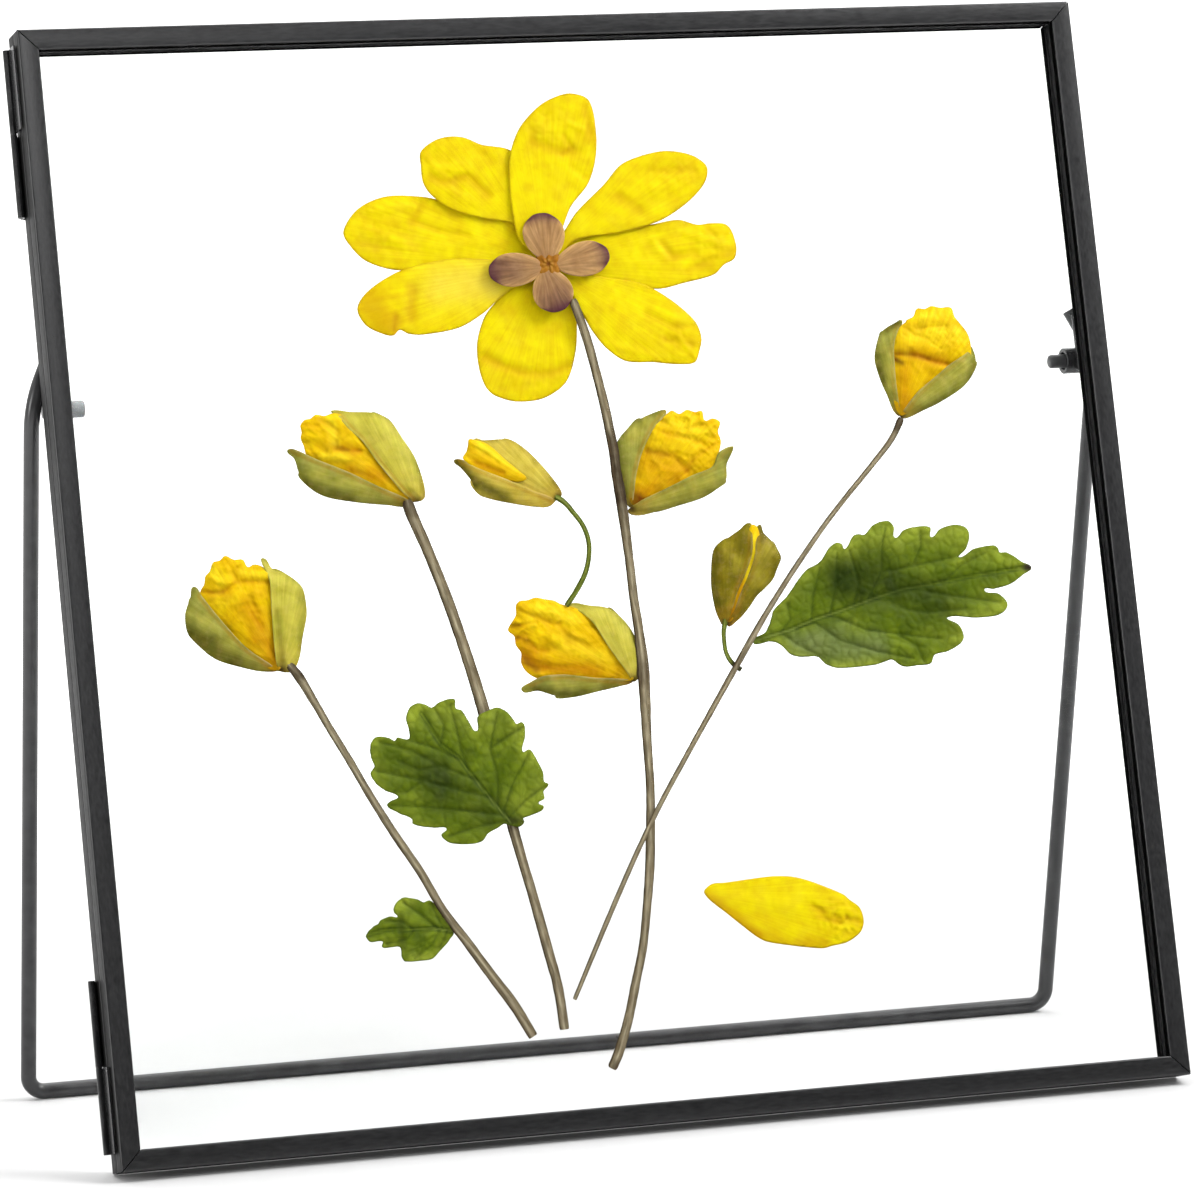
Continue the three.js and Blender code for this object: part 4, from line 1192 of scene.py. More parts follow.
def leaf(name, sheet, midrib, side_veins, outline, yellow=(), dark=(), grey=(), tip=(), rolls=(),
         pucker=0.29, seed=0.0):
    """One leaf. The midrib and side veins run from the stalk outwards."""
    def net(spots):
        values = []
        for x, z in spots:
            near = noise.voronoi(Vector((x / NET_CELL, z / NET_CELL, seed)))[0]
            values.append(near[1] - near[0])
        return np.exp(-((np.array(values) / NET_LINE) ** 2))

    def gap(spots, lines):
        near = np.full(len(spots), 1e9)
        for line in lines:
            for start, end in zip(line, line[1:]):
                near = np.minimum(near, away_from(spots, start, end))
        return near

    def raise_by(spots, edge, angle, out):
        rib, vein = gap(spots, [midrib]), gap(spots, side_veins)
        either = np.minimum(rib, vein)
        puff = pucker * (1 - np.exp(-((either / 1.3) ** 2))) * (0.8 + 0.6 * rough(spots, 2.2, seed, 2))
        sunk = -0.24 * np.exp(-((rib / 0.5) ** 2)) - 0.24 * np.exp(-((vein / 0.34) ** 2)) - 0.17 * net(spots)
        wave = 0.12 * rough(spots, 9, seed + 4, 2) + strokes(spots, rolls)
        return np.clip(puff + sunk + wave - 0.1 * np.exp(-edge / 0.5), -0.34, 0.5)

    def marks(spots, edge, angle, out):
        rib, vein = gap(spots, [midrib]), gap(spots, side_veins)
        patches = rough(spots, 5, seed + 9, 3)
        return {
            "yellow": strokes(spots, yellow) + 0.32 * np.exp(-edge / 1.4) + np.clip(patches * 0.35, 0, 1),
            "dark": 1.2 * strokes(spots, dark) + np.clip(-patches * 0.35, 0, 1),
            "grey": strokes(spots, grey),
            # The net and vein masks paint shade into the sunk net of veins, the sunk side veins and the
            # flanks of the sunk midrib.
            "net": 0.22 * net(spots),
            "vein": 0.5 * np.exp(-((vein / 0.24) ** 2)) + 0.6 * np.exp(-(((rib - 0.34) / 0.2) ** 2)),
            "rib": 0.55 * np.exp(-((rib / 0.17) ** 2)) * np.clip(1.1 - 1.4 * out, 0.05, 1),
            "rim": 0.5 * np.exp(-((edge / 0.2) ** 2)),
            "tip": strokes(spots, tip),
        }

    piece = sheet_of(name + "_pressed", outline, SHEETS[sheet], raise_by, marks, midrib[0], midrib[-1],
                     cell=0.34, thickness=0.16)
    piece.data.materials.append(leaf_tissue)
    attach(piece, "back_frame")
    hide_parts(name)


leaf("right_leaf", 1,
     [(132.6, 89), (139.5, 90.5), (145, 92.3), (150, 93.5), (157, 95.5), (163.5, 97), (169, 97.5),
      (177, 98.6), (189.6, 99.8)],
     [[(156, 95.3), (159.5, 100.6), (168, 101.6), (176, 102.8)], [(153, 94.4), (154.5, 98.5), (153.4, 105)],
      [(157, 95.5), (160.5, 95), (164, 93), (168, 92.2), (176, 92.6)], [(165, 97), (174, 95), (183, 93.4)],
      [(147, 92.8), (149.5, 92.4), (155, 89.6), (161, 88.6), (170, 87)],
      [(141, 90.8), (145, 91.6), (149.5, 88), (156.5, 85.5), (164, 83.6)],
      [(144, 92), (145, 96.5), (147, 102)], [(137.5, 90), (140, 92.5), (139.6, 95.6)],
      [(148, 93), (149.6, 97.5), (150.8, 104.6)],
      [(159.5, 100.6), (160, 105), (161.2, 109)], [(166, 101.3), (168, 105), (168.2, 108)],
      [(172, 98), (176, 101), (181, 103)],
      [(138, 90), (141, 87.6), (146, 84.8)], [(161, 88.6), (165, 86), (166, 83)]],
     [(132.2, 88.3), (132.1, 89.3), (134.6, 90.4), (136, 92.8), (136.8, 94.6), (139.6, 96.9),
      (143.9, 101.6), (147.1, 103.2), (149.3, 105.8), (150.9, 106.7), (152, 106.3), (152.3, 105.4),
      (153.1, 105.9), (154.4, 107.8), (155.6, 108.1), (156.7, 107.9), (158.8, 109.7), (161.8, 110.3),
      (162.9, 109.1), (162.9, 107), (164.8, 108.3), (166.7, 108.8), (170.3, 108.6), (170.3, 106.7),
      (172.4, 108.2), (175.5, 108.8), (177.7, 108.1), (178.2, 106.5), (177.2, 104), (175.7, 102.5),
      (178.8, 103.9), (183, 104.4), (183.9, 103.7), (184, 103), (185.4, 102.9), (187, 102), (188.4, 100.9),
      (190.3, 99.7), (188.5, 98.4), (185.6, 96.7), (182.4, 96), (180.1, 95.8), (182.7, 95.1), (184.1, 93.9),
      (184.5, 92.6), (183.4, 91.3), (181.4, 90.7), (177.9, 90.6), (171.9, 91), (174, 89.5), (174.8, 87.3),
      (174, 85.9), (171.1, 84.5), (168.4, 84), (167.4, 82.4), (164.8, 82.2), (161.7, 82.2), (159.6, 83.6),
      (158.1, 83.3), (155.7, 82.8), (148.5, 82.7), (146, 83.7), (144.7, 85.1), (141, 85.3), (139.2, 85.9),
      (137.5, 87.8), (135.4, 88.6)],
     yellow=[((139, 96), (150, 105.6), 1.4, 0.3), ((148.5, 83), (156, 83), 1.4, 0.6),
             ((173, 86.5), (183, 92.6), 2.2, 0.6), ((150, 105), (163, 108), (176, 107), 2.6, 0.6),
             ((138, 88), (142, 85.6), 1.0, 0.5), ((181, 103), (188, 100.4), 1.6, 0.3)],
     dark=[((152, 99), (163, 97), (170, 94), 5.5, 0.55), ((150, 101), (160, 103), 4, 0.3)],
     grey=[((141, 87.6), (149, 86), (157, 86.6), 2.6, 0.6), ((144, 89), (150, 90), 1.6, 0.3)],
     tip=[((189.4, 99.8), (190.6, 99.7), 0.9, 0.9)],
     rolls=[((146, 88), (156, 87), 2.4, 0.12), ((160, 96), (166, 95), 2.4, -0.16)], seed=21.0)
leaf("left_leaf", 0,
     [(80.6, 58), (78, 61.5), (74.5, 66.5), (71.5, 71), (68.5, 73.5), (65.5, 79.4)],
     [[(73.4, 68.2), (72.4, 72), (72, 76), (71.2, 80.6)],
      [(74.5, 66.5), (68, 69.5), (63, 72.6), (57, 74.6)],
      [(77, 63), (72, 64.5), (64.5, 67), (55.8, 69.3)], [(79.5, 59.4), (71.5, 61), (65, 62), (58, 62.8)],
      [(80, 58.4), (74.5, 57.8), (68.5, 56.4)], [(78.4, 61), (79, 67), (78, 72), (80.2, 78.8)],
      [(79.4, 60), (81.6, 65), (85.6, 70.8)],
      [(80.4, 59), (84, 62), (88, 64.4)], [(72, 70.4), (67, 73), (62.6, 74.6)],
      [(78, 72), (81.5, 74), (84.8, 75.6)],
      [(68, 69.5), (64, 69), (60, 71)], [(68.6, 73.4), (69.6, 77), (68.2, 80)],
      [(64.5, 67), (61, 65), (58.6, 65.4)]],
     [(80.6, 57.5), (79.4, 57.9), (78, 57.2), (76.1, 56.4), (74.8, 55), (72.5, 54.6), (68.8, 55),
      (67.2, 56.1), (67, 56.8), (68.1, 57.8), (65.9, 58.1), (63.5, 58.5), (61.7, 59.2), (61.7, 60),
      (59.1, 61.4), (57.2, 62.8), (57.9, 63.6), (59.4, 64.4), (57.1, 65.6), (55.3, 67.3), (54.6, 69),
      (55, 69.6), (55.5, 70.2), (55, 71.9), (55.1, 74.2), (55.9, 75.4), (57.1, 75.7), (58.8, 75.3),
      (59.9, 74.7), (60.3, 75.3), (61.5, 75), (62.6, 74.9), (62.7, 76.8), (62.4, 78.7), (63.3, 80.6),
      (64.9, 81.4), (66.5, 81), (67.6, 80.4), (69.1, 81.3), (72.1, 81.7), (72.2, 80), (73.3, 79.5),
      (74.4, 77.5), (75.8, 75.5), (76.2, 78.1), (78.3, 79.1), (80.2, 79.6), (82, 78.7), (83.3, 76.9),
      (83.6, 76.3), (84.7, 76.6), (85.2, 75.8), (85.1, 73.9), (84.3, 71.1), (85.6, 71.4), (86.1, 71),
      (87.2, 68.7), (87.9, 66.8), (87.9, 65.2), (88.7, 64.6), (87.6, 63.4), (87.6, 62), (86.4, 61.3),
      (87.3, 60.7), (87, 59.9), (84.4, 59), (83.1, 58.6), (83.3, 58), (82.2, 57.1)],
     yellow=[((63.5, 78.5), (65, 81), 1.6, 0.6), ((82.5, 61), (87, 64), 2.4, 0.4),
             ((84, 76), (86, 70), 2.2, 0.5), ((56, 74.5), (55.4, 70), 1.4, 0.3),
             ((70, 79), (78, 77), 2.6, 0.5)],
     dark=[((67.5, 66), (71.5, 63.5), (78.5, 59), 4.2, 0.4), ((60, 71), (68, 68), 4.2, 0.25)],
     tip=[((81, 58.4), (83, 58.2), 0.7, 0.4)], pucker=0.28, seed=22.0)
leaf("small_leaf", 1,
     [(67.4, 38.7), (66.6, 38.9), (64, 39.5), (59, 39.7), (54.5, 40), (51.3, 39.4)],
     [[(64.6, 39.4), (61.5, 42.3), (58.5, 44.7)], [(65.6, 39.1), (64.6, 41.6), (63.8, 44)],
      [(65, 39.3), (63, 36.5), (59.6, 34.4)],
      [(60, 39.6), (57.4, 41.4), (54.6, 41.6)], [(60, 39.6), (58.4, 38), (54.4, 37.4)],
      [(66.2, 39), (65.6, 37.4), (64.4, 36)]],
     [(67.5, 38.3), (66.8, 37.5), (66, 36.6), (64.6, 35.4), (62.9, 34), (60.9, 33.8), (57.7, 33.9),
      (57.1, 34.7), (56.9, 36.6), (53.9, 36.7), (53.5, 37.1), (53.8, 37.8), (53, 38), (51.4, 38),
      (50.7, 39), (51.1, 39.8), (52.4, 40.9), (53.3, 41.2), (53.7, 41.8), (54.7, 42.2), (55.9, 42.4),
      (57.1, 42.2), (56.6, 42.9), (56.4, 43.7), (57.1, 44.9), (58.6, 45.7), (59.8, 45.5), (61.3, 45.1),
      (62.3, 44.5), (63.4, 44.8), (64.2, 44.2), (65.1, 42.5), (66.2, 40.7), (67.2, 39.2)],
     yellow=[((57, 44.4), (60, 45), 1.0, 0.5), ((59, 34.4), (62.6, 34.4), 1.0, 0.45)],
     dark=[((57.6, 41.6), (57.4, 36.6), 1.0, 0.45)], rolls=[((57.6, 42), (57.4, 36.6), 0.7, -0.2)],
     pucker=0.16, seed=23.0)


# ---- Buds ----
# Seven buds, all but one half open. Each is a bundle of crumpled yellow petals held between two cupped
# sepals, with a third sepal at the back. All grew as one and were pressed together.
# In the crumpled petals the ochre_and_shade and deep layers carry painted shade, and painted_highlight
# carries painted light.
bud_petals = dried_tissue(
    "crumpled yellow petals", ((230, 188, 0), (250, 214, 2)),
    (("ochre_and_shade", (212, 142, 0), 500.0, 0.4), ("deep", (130, 70, 4), 600.0, 0.35),
     ("painted_highlight", (255, 238, 40), 500.0, 0.3),
     ("rim", (214, 170, 10), 900.0, 0.3)),
    veins=(206, 160, 0), vein_depth=0.26, count=36.0, bump_height=0.00008)


FRONT_LIMIT = 2.24
SEPAL_FRONT = 2.5
BUD_START = 2.45
WALL_ROOM = 0.4
PETALS_IN_FRONT = 3.1
SEPAL_BEHIND = 3.2
PETALS_AHEAD = 0.3


def sepal_tissue(name, dull, fresh):
    """Dried tissue for a sepal, from its dull to its fresh ground colour."""
    return dried_tissue(
        name, (dull, fresh),
        (("yellow", (212, 196, 66), 350.0, 0.4), ("dark", (92, 88, 12), 400.0, 0.5),
         ("ochre_and_shade", (186, 128, 36), 500.0, 0.4),
         ("lip", (226, 188, 134), 900.0, 0.5), ("deep", (66, 46, 22), 600.0, 0.3)),
        veins=(118, 116, 36), vein_depth=0.2, count=30.0, gloss=0.5, bump_height=0.00007)


# In three buds the pale sepal tissue clothes the sepal that faces up and to the right, towards the light; its
# paler, yellower ground is partly painted light, a lit copy of the green sepal.
green_sepal = sepal_tissue("green sepal", (144, 146, 52), (174, 174, 80))
olive_sepal = sepal_tissue("olive sepal", (110, 98, 4), (140, 126, 14))
pale_lit_sepal = sepal_tissue("pale sepal, painted lit", (198, 192, 64), (222, 212, 86))
tan_sepal = sepal_tissue("tan sepal", (216, 190, 66), (236, 212, 90))


def bud(name, foot, thickness, sepals, petals, folds_at=(), ochre_and_shade=(), deep=(), painted_highlight=(), fan_from=None,
        crumple=0.22, bulge=1.0,
        petals_first=False, seed=0.0):
    """One bud. Each sepal is (tissue, outer edge, inner edge, yellow, dark, lip strength)."""
    foot = np.array(foot, float)
    rear = BUD_START + thickness - WALL_ROOM
    bundle_depth = PETALS_IN_FRONT if petals_first else rear - PETALS_AHEAD
    sheets = []

    def petal_raise(spots, edge, angle, out):
        grain = 0.5 + 0.5 * np.clip((out - 0.35) * 3, 0, 1)
        large, small = 1.7 * folds(spots, 3.4, seed, (1.2, 1)), 0.55 * folds(spots, 1.5, seed + 2)
        crease = crumple * (large + small + 0.5 * rough(spots, 5, seed + 5)) * grain
        ribs = 0.06 * np.sin(angle * 30 + 2 * rough(spots, 6, seed + 7, 2)) * (1 - 0.6 * grain)
        swell = bulge * (1 - np.exp(-((edge / 2.6) ** 1.3)))
        height = swell + (crease + ribs) * (1 - np.exp(-edge / 0.35)) + strokes(spots, folds_at)
        return np.clip(height, -0.1, bundle_depth - FRONT_LIMIT)

    # valley_shade and sunk paint shade into fold valleys; deep darkens the deepest folds with painted shade
    # and darkens the foot where the petals meet the sepals; painted_highlight paints light on raised folds
    # and lumps.
    def petal_marks(spots, edge, angle, out):
        large, small = folds(spots, 3.4, seed, (1.2, 1)), folds(spots, 1.5, seed + 2)
        valley_shade = np.clip(-large, 0, 1) * 0.45 + np.clip(-small, 0, 1) * 0.2
        sunk = np.clip(-strokes(spots, folds_at) * 1.6, 0, 1)
        return {
            "ochre_and_shade": strokes(spots, ochre_and_shade) + valley_shade * (0.4 + 0.6 * (out > 0.4)) * 0.6 + 0.6 * sunk
            + 0.3 * np.exp(-((out / 0.35) ** 2)),
            "deep": strokes(spots, deep) + 0.3 * np.clip(sunk - 0.35, 0, 1)
            + 0.5 * np.exp(-(((out - 0.02) / 0.1) ** 2)),
            "painted_highlight": strokes(spots, painted_highlight) + 0.3 * np.clip(rough(spots, 5, seed + 5), 0, 1),
            "rim": 0.35 * np.exp(-((edge / 0.2) ** 2)),
        }

    lie_foot = fan_from or foot
    middle = np.mean(petals, axis=0)
    tip = np.array(lie_foot) + (middle - lie_foot) * 2
    bundle = sheet_of(name + "_petals", petals, bundle_depth, petal_raise, petal_marks, lie_foot, tip,
                      cell=0.24, back=0.8)
    bundle.data.materials.append(bud_petals)
    sheets.append(bundle)

    for number, (tissue, outer, inner, yellow, dark, lip) in enumerate(sepals):
        outer_line, inner_line = [tuple(spot) for spot in outer], [tuple(spot) for spot in inner]

        def gap(spots, line):
            return np.min([away_from(spots, start, end) for start, end in zip(line, line[1:])], axis=0)

        def sepal_raise(spots, edge, angle, out):
            from_outer, from_inner = gap(spots, outer_line), gap(spots, inner_line)
            lowest = SEPAL_BEHIND if petals_first and number == 0 else SEPAL_FRONT
            cup = (rear - lowest) * (1 - np.exp(-((from_outer / 1.5) ** 1.2)))
            roll = 0.1 * np.exp(-((from_inner / 0.5) ** 2)) - 0.28 * np.exp(-((from_inner / 1.6) ** 2))
            ribs = 0.035 * np.cos(angle * 34 + 2 * rough(spots, 7, seed + number, 2))
            ribs = ribs + 0.1 * rough(spots, 3.2, seed + 3 + number, 3)
            return np.clip(cup + roll + ribs * (1 - np.exp(-edge / 0.4)), 0, rear - FRONT_LIMIT)

        def sepal_marks(spots, edge, angle, out):
            from_outer, from_inner = gap(spots, outer_line), gap(spots, inner_line)
            patches = rough(spots, 3.5, seed + 6 + number, 3)
            return {
                "yellow": 0.7 * strokes(spots, yellow) + 0.3 * np.clip(patches, 0, 1),
                "dark": strokes(spots, dark) + 0.28 * np.exp(-((from_outer / 0.7) ** 2))
                + 0.3 * np.clip(-patches, 0, 1),
                "ochre_and_shade": 0.5 * np.exp(-(((from_inner - 0.65) / 0.3) ** 2)) * lip
                + 0.35 * np.exp(-((out / 0.2) ** 2)),
                "lip": 0.75 * lip * np.exp(-((from_inner / 0.24) ** 2)) * (0.6 + 0.7 * patches),
                "deep": 0.9 * np.exp(-((np.linalg.norm(spots - foot, axis=1) / 0.9) ** 2)),
            }

        piece = sheet_of(f"{name}_sepal_{number}", outer_line + inner_line, rear, sepal_raise, sepal_marks,
                         foot, foot + (np.mean(outer, axis=0) - foot) * 2, cell=0.27, thickness=0.16,
                         back=1.2)
        piece.data.materials.append(tissue)
        sheets.append(piece)

    wrap = [tuple(spot) for spot in sepals[0][1][2:]] + [tuple(spot) for spot in sepals[1][1][:-2]]

    def wrap_raise(spots, edge, angle, out):
        return -0.26 * (1 - np.exp(-edge / 1.6)) + 0.05 * rough(spots, 3.2, seed + 8, 3)

    def wrap_marks(spots, edge, angle, out):
        return {"yellow": 0.5 * np.clip(rough(spots, 4, seed + 4, 3), 0, 1),
                "dark": 0.4 * np.exp(-((edge / 0.9) ** 2)),
                "deep": 0.8 * np.exp(-((np.linalg.norm(spots - foot, axis=1) / 0.9) ** 2))}

    piece = sheet_of(name + "_back_sepal", wrap, rear + 0.02, wrap_raise, wrap_marks,
                     foot, foot + (np.mean(wrap, axis=0) - foot) * 2, cell=0.5, thickness=0.14, back=1.2)
    piece.data.materials.append(sepals[1][0])
    sheets.append(piece)

    deselect()
    for piece in sheets:
        piece.select_set(True)
    bpy.context.view_layer.objects.active = bundle
    bpy.ops.object.join()
    bundle.name = name + "_pressed"
    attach(bundle, "back_frame")
    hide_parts(name)


bud("bud_upper_left", (68.6, 118.8), 2.0,
    [(pale_lit_sepal, [(53.8, 136.9), (57.5, 136.5), (61.5, 136.2), (63.6, 135.5), (65.1, 134.4), (67, 131.1),
                   (68.9, 127.7), (69.9, 124.4), (70.4, 121.3), (70, 119.4), (67.5, 118.9)],
      [(67.4, 119.4), (65.9, 121.1), (62, 126.5), (59.2, 131), (57.1, 133.1), (55, 135.8)],
      [((60, 134), (66, 124), 2.4, 0.5)], [((69.5, 126), (70, 121), 1.0, 0.3)], 0.9),
     (green_sepal, [(67.4, 118.2), (62.4, 118.7), (56.9, 119.5), (51, 120.9), (47.7, 123.2), (46.4, 125.6),
                    (45.8, 128.2), (44.6, 129.8)],
      [(46, 130), (50, 128), (56.3, 125.1), (61.6, 122.2), (66.7, 119.6)],
      [((50, 125), (60, 121), 1.6, 0.25)], [((48, 123.4), (56, 119.9), 1.4, 0.5)], 0.8)],
    [(47.8, 130.9), (47.4, 132), (47.7, 133.1), (47.6, 134.4), (48.5, 135.4), (49.6, 135.6), (50.8, 136.3),
     (52.4, 136), (54.3, 136.4), (57.4, 135.2), (60.4, 132), (63.6, 127), (67.4, 120.4), (66.3, 119.2),
     (60, 121), (55.6, 123.6), (50, 126.8), (48.2, 128.8)],
    folds_at=[((51.5, 135.5), (54.5, 133), (54, 129.5), (58.5, 129), 0.55, -0.42),
              ((48.5, 134.5), (51, 134), 0.4, -0.25), ((48.5, 131), (50, 128), 0.45, -0.25),
              ((56.5, 125.5), (60.5, 124), 0.6, -0.25),
              ((54.4, 135.4), (56.5, 133.4), (60, 129.5), 0.7, 0.3),
              ((51.5, 128.4), (56, 127.6), 0.7, 0.32), ((52.6, 131.4), (52.2, 134), 0.6, 0.25)],
    ochre_and_shade=[((54, 130), (58, 129), 1.2, 0.4), ((57, 126), (62, 124), 1.4, 0.45)],
    deep=[((53.8, 130.6), (56, 129.2), 0.6, 0.4)],
    painted_highlight=[((53.6, 135), (54, 131), 1.2, 0.5), ((51.5, 128.4), (56, 128), 1.0, 0.5)], seed=31.0)
bud("bud_small", (96.3, 118.3), 1.4,
    [(tan_sepal, [(81.2, 130.3), (82.7, 129.9), (86.5, 129.9), (88.5, 129.5), (91.3, 127.3), (94.2, 123.9),
                  (96.4, 120.7), (97.1, 118.9), (96.1, 118)],
      [(93.4, 118.6), (88.4, 121.2), (84, 123.6), (81.6, 126.4), (80.6, 129)],
      [((89, 126), (95, 120), 2.0, 0.5)], [((96, 121), (97, 119), 0.9, 0.25)], 0.2),
     (tan_sepal, [(94.4, 116.7), (91.4, 116.8), (86.5, 117.8), (83.1, 118.7), (80.7, 119.8), (79.5, 122.5),
                  (77.9, 124.8), (76.6, 126.3)],
      [(78.2, 126.4), (80.7, 124.9), (86.9, 122.1), (91.7, 119.7), (95.3, 118.1)],
      [((86, 120), (92, 118.4), 1.0, 0.3)], [((77.5, 126), (80.5, 122), (86, 119), 1.5, 0.75)], 0.75)],
    [(80, 130.2), (81.5, 129.9), (83, 129.4), (84.6, 128.2), (86.8, 125.9), (89.3, 123.6), (90.4, 122.1),
     (87.5, 121.8), (84.1, 123), (81.2, 124), (79, 125.8), (78.4, 126.8), (79.2, 127.9), (79.6, 129)],
    folds_at=[((80.4, 129.4), (83.5, 127.6), (89, 123.2), 0.5, 0.25),
              ((78.5, 127.5), (81.5, 125.5), (86, 123.5), 0.5, -0.25),
              ((81.4, 128.4), (85, 125.6), 0.4, -0.18)],
    ochre_and_shade=[((81, 125.5), (86, 123.5), 1.0, 0.4), ((79, 128.6), (80.4, 127.4), 0.8, 0.3)],
    painted_highlight=[((82, 129), (88.6, 124.2), 0.9, 0.6)],
    bulge=0.75, crumple=0.16, petals_first=True, seed=32.0)
bud("bud_middle", (110.6, 115.4), 1.8,
    [(green_sepal, [(119.4, 133.8), (118.5, 133.9), (114.3, 132.5), (111.2, 130.5), (109.2, 128.4),
                    (108.4, 126.3), (108.3, 123.2), (108.7, 120.1), (109.4, 117.5), (110.4, 115.6)],
      [(111.1, 117.2), (112.1, 121.5), (113.5, 125.3), (115.3, 128.5), (117, 131), (119.3, 133)],
      [((112, 129), (115.6, 131.4), 1.6, 0.4)], [((109, 126), (109.4, 119), 1.2, 0.5)], 0.75),
     (green_sepal, [(109.9, 114.6), (115.4, 114.5), (119.6, 115.4), (124.9, 116.7), (128.1, 118.3),
                    (130, 119.9), (130.5, 122.9), (132.2, 126.1)],
      [(131, 126.1), (129.1, 125.1), (127.6, 122.6), (123.3, 121.1), (116.9, 118.5), (112.4, 116.7)],
      [((116, 116.4), (127, 119.6), 1.6, 0.4)], [((130.4, 124), (131.6, 125.8), 1.0, 0.4)], 0.4)],
    [(119.3, 133), (120.6, 133.7), (122, 133), (123.6, 133.7), (125.2, 133.2), (126.6, 133.3), (127, 131.5),
     (128.6, 131.8), (130, 131), (129.4, 129.2), (129.8, 127.4), (129.2, 125.2), (128, 121.6),
     (123.9, 119.8), (119, 117.8), (112.8, 116.4), (110.8, 116.2), (110.4, 118), (111.2, 122), (112.8, 126),
     (114.8, 129.8), (117.5, 132.4)],
    folds_at=[((118.5, 131.5), (121.5, 129.8), (127, 130.5), 0.5, -0.3),
              ((118.5, 129.6), (126, 127.2), 0.6, -0.32),
              ((122.5, 122), (124, 124.5), (129, 127), 0.6, -0.35),
              ((115, 126), (120, 125), (122, 122.2), 0.8, -0.36), ((118, 128.4), (124, 125.6), 0.8, 0.3),
              ((120, 130.8), (125, 129), 0.7, 0.25), ((113.8, 121), (120.5, 122.6), 1.6, 0.25),
              ((126.4, 131.8), (128.6, 128.8), 0.6, 0.25)],
    ochre_and_shade=[((114, 124), (121, 122), 2.0, 0.35), ((112, 118), (120, 120), 1.4, 0.45)],
    deep=[((114.8, 126.2), (118.6, 125.4), 0.7, 0.3), ((110.8, 117.4), (113.2, 116.2), 1.2, 1.2)],
    painted_highlight=[((119, 132), (127, 129.6), 1.4, 0.35)], crumple=0.26, seed=33.0)
bud("bud_low", (107.3, 82.9), 2.0,
    [(pale_lit_sepal, [(96, 97.9), (100.7, 97.5), (103.7, 96.9), (106.1, 95.1), (108.1, 92.3), (109.1, 89.1),
                   (109.2, 85.4), (108.5, 83.4), (107.3, 82.7)],
      [(106.4, 84.4), (105.1, 86.5), (102.9, 90.1), (100.8, 94.1), (98.7, 96.3)],
      [((103, 95), (107, 88), 1.6, 0.4)], [((108.6, 90), (108.8, 85), 1.0, 0.3)], 0.25),
     (green_sepal, [(107, 82.5), (104.7, 82), (100.3, 81.3), (94.9, 80.5), (91.7, 81), (88.6, 82.1),
                    (85.3, 82.4)],
      [(87.3, 83.9), (90, 84.9), (94.2, 84.9), (99.5, 84), (106.6, 83.1)],
      [((92, 83), (102, 82.6), 1.2, 0.3)], [((88, 82.4), (96, 80.8), 0.8, 0.4)], 0.85)],
    [(85.8, 98.4), (86.6, 99.2), (88.2, 99.3), (89.8, 99.7), (91.5, 99.3), (93.4, 98.9), (94.6, 98.2),
     (97.4, 97.3), (99.8, 96.1), (102, 93.8), (104.1, 90.6), (106.9, 86.5), (107.5, 83.4), (106.8, 82.9),
     (100.6, 83), (93.2, 83.7), (89, 84.3), (86.8, 85.6), (85.7, 87.6), (85.9, 89.4), (85, 91),
     (84.9, 92.6), (83.8, 93.8), (84.5, 95.1), (85.6, 96.6)],
    folds_at=[((86.5, 97.5), (89.5, 96), (92.5, 94.5), (94, 94.5), 0.5, -0.36),
              ((94, 93.5), (97, 91), (99, 90), 0.6, -0.25), ((85, 94.5), (89.5, 95), 0.4, -0.3),
              ((85, 92), (87, 93), (89, 89.7), (91, 89.5), 0.5, -0.32),
              ((86, 89), (90, 86.5), (98.5, 85.7), 0.8, -0.2), ((90, 97.6), (93, 96.4), 0.8, 0.3),
              ((89.8, 93), (92.8, 91.2), 0.9, 0.3), ((103, 90), (95.5, 95.4), 0.8, 0.2)],
    ochre_and_shade=[((86, 88.6), (92, 86), (100, 85), 1.8, 0.55), ((85, 92), (88, 90), 1.4, 0.4)],
    deep=[((85.8, 88.6), (88.6, 86.2), 0.8, 0.6), ((85.6, 92.4), (87.4, 91.8), 0.5, 0.5),
          ((84.6, 95), (86, 94.6), 0.5, 0.5)],
    painted_highlight=[((90, 98), (97, 95), 1.4, 0.4), ((94, 90.4), (103, 87), 1.6, 0.3)], crumple=0.24, seed=34.0)
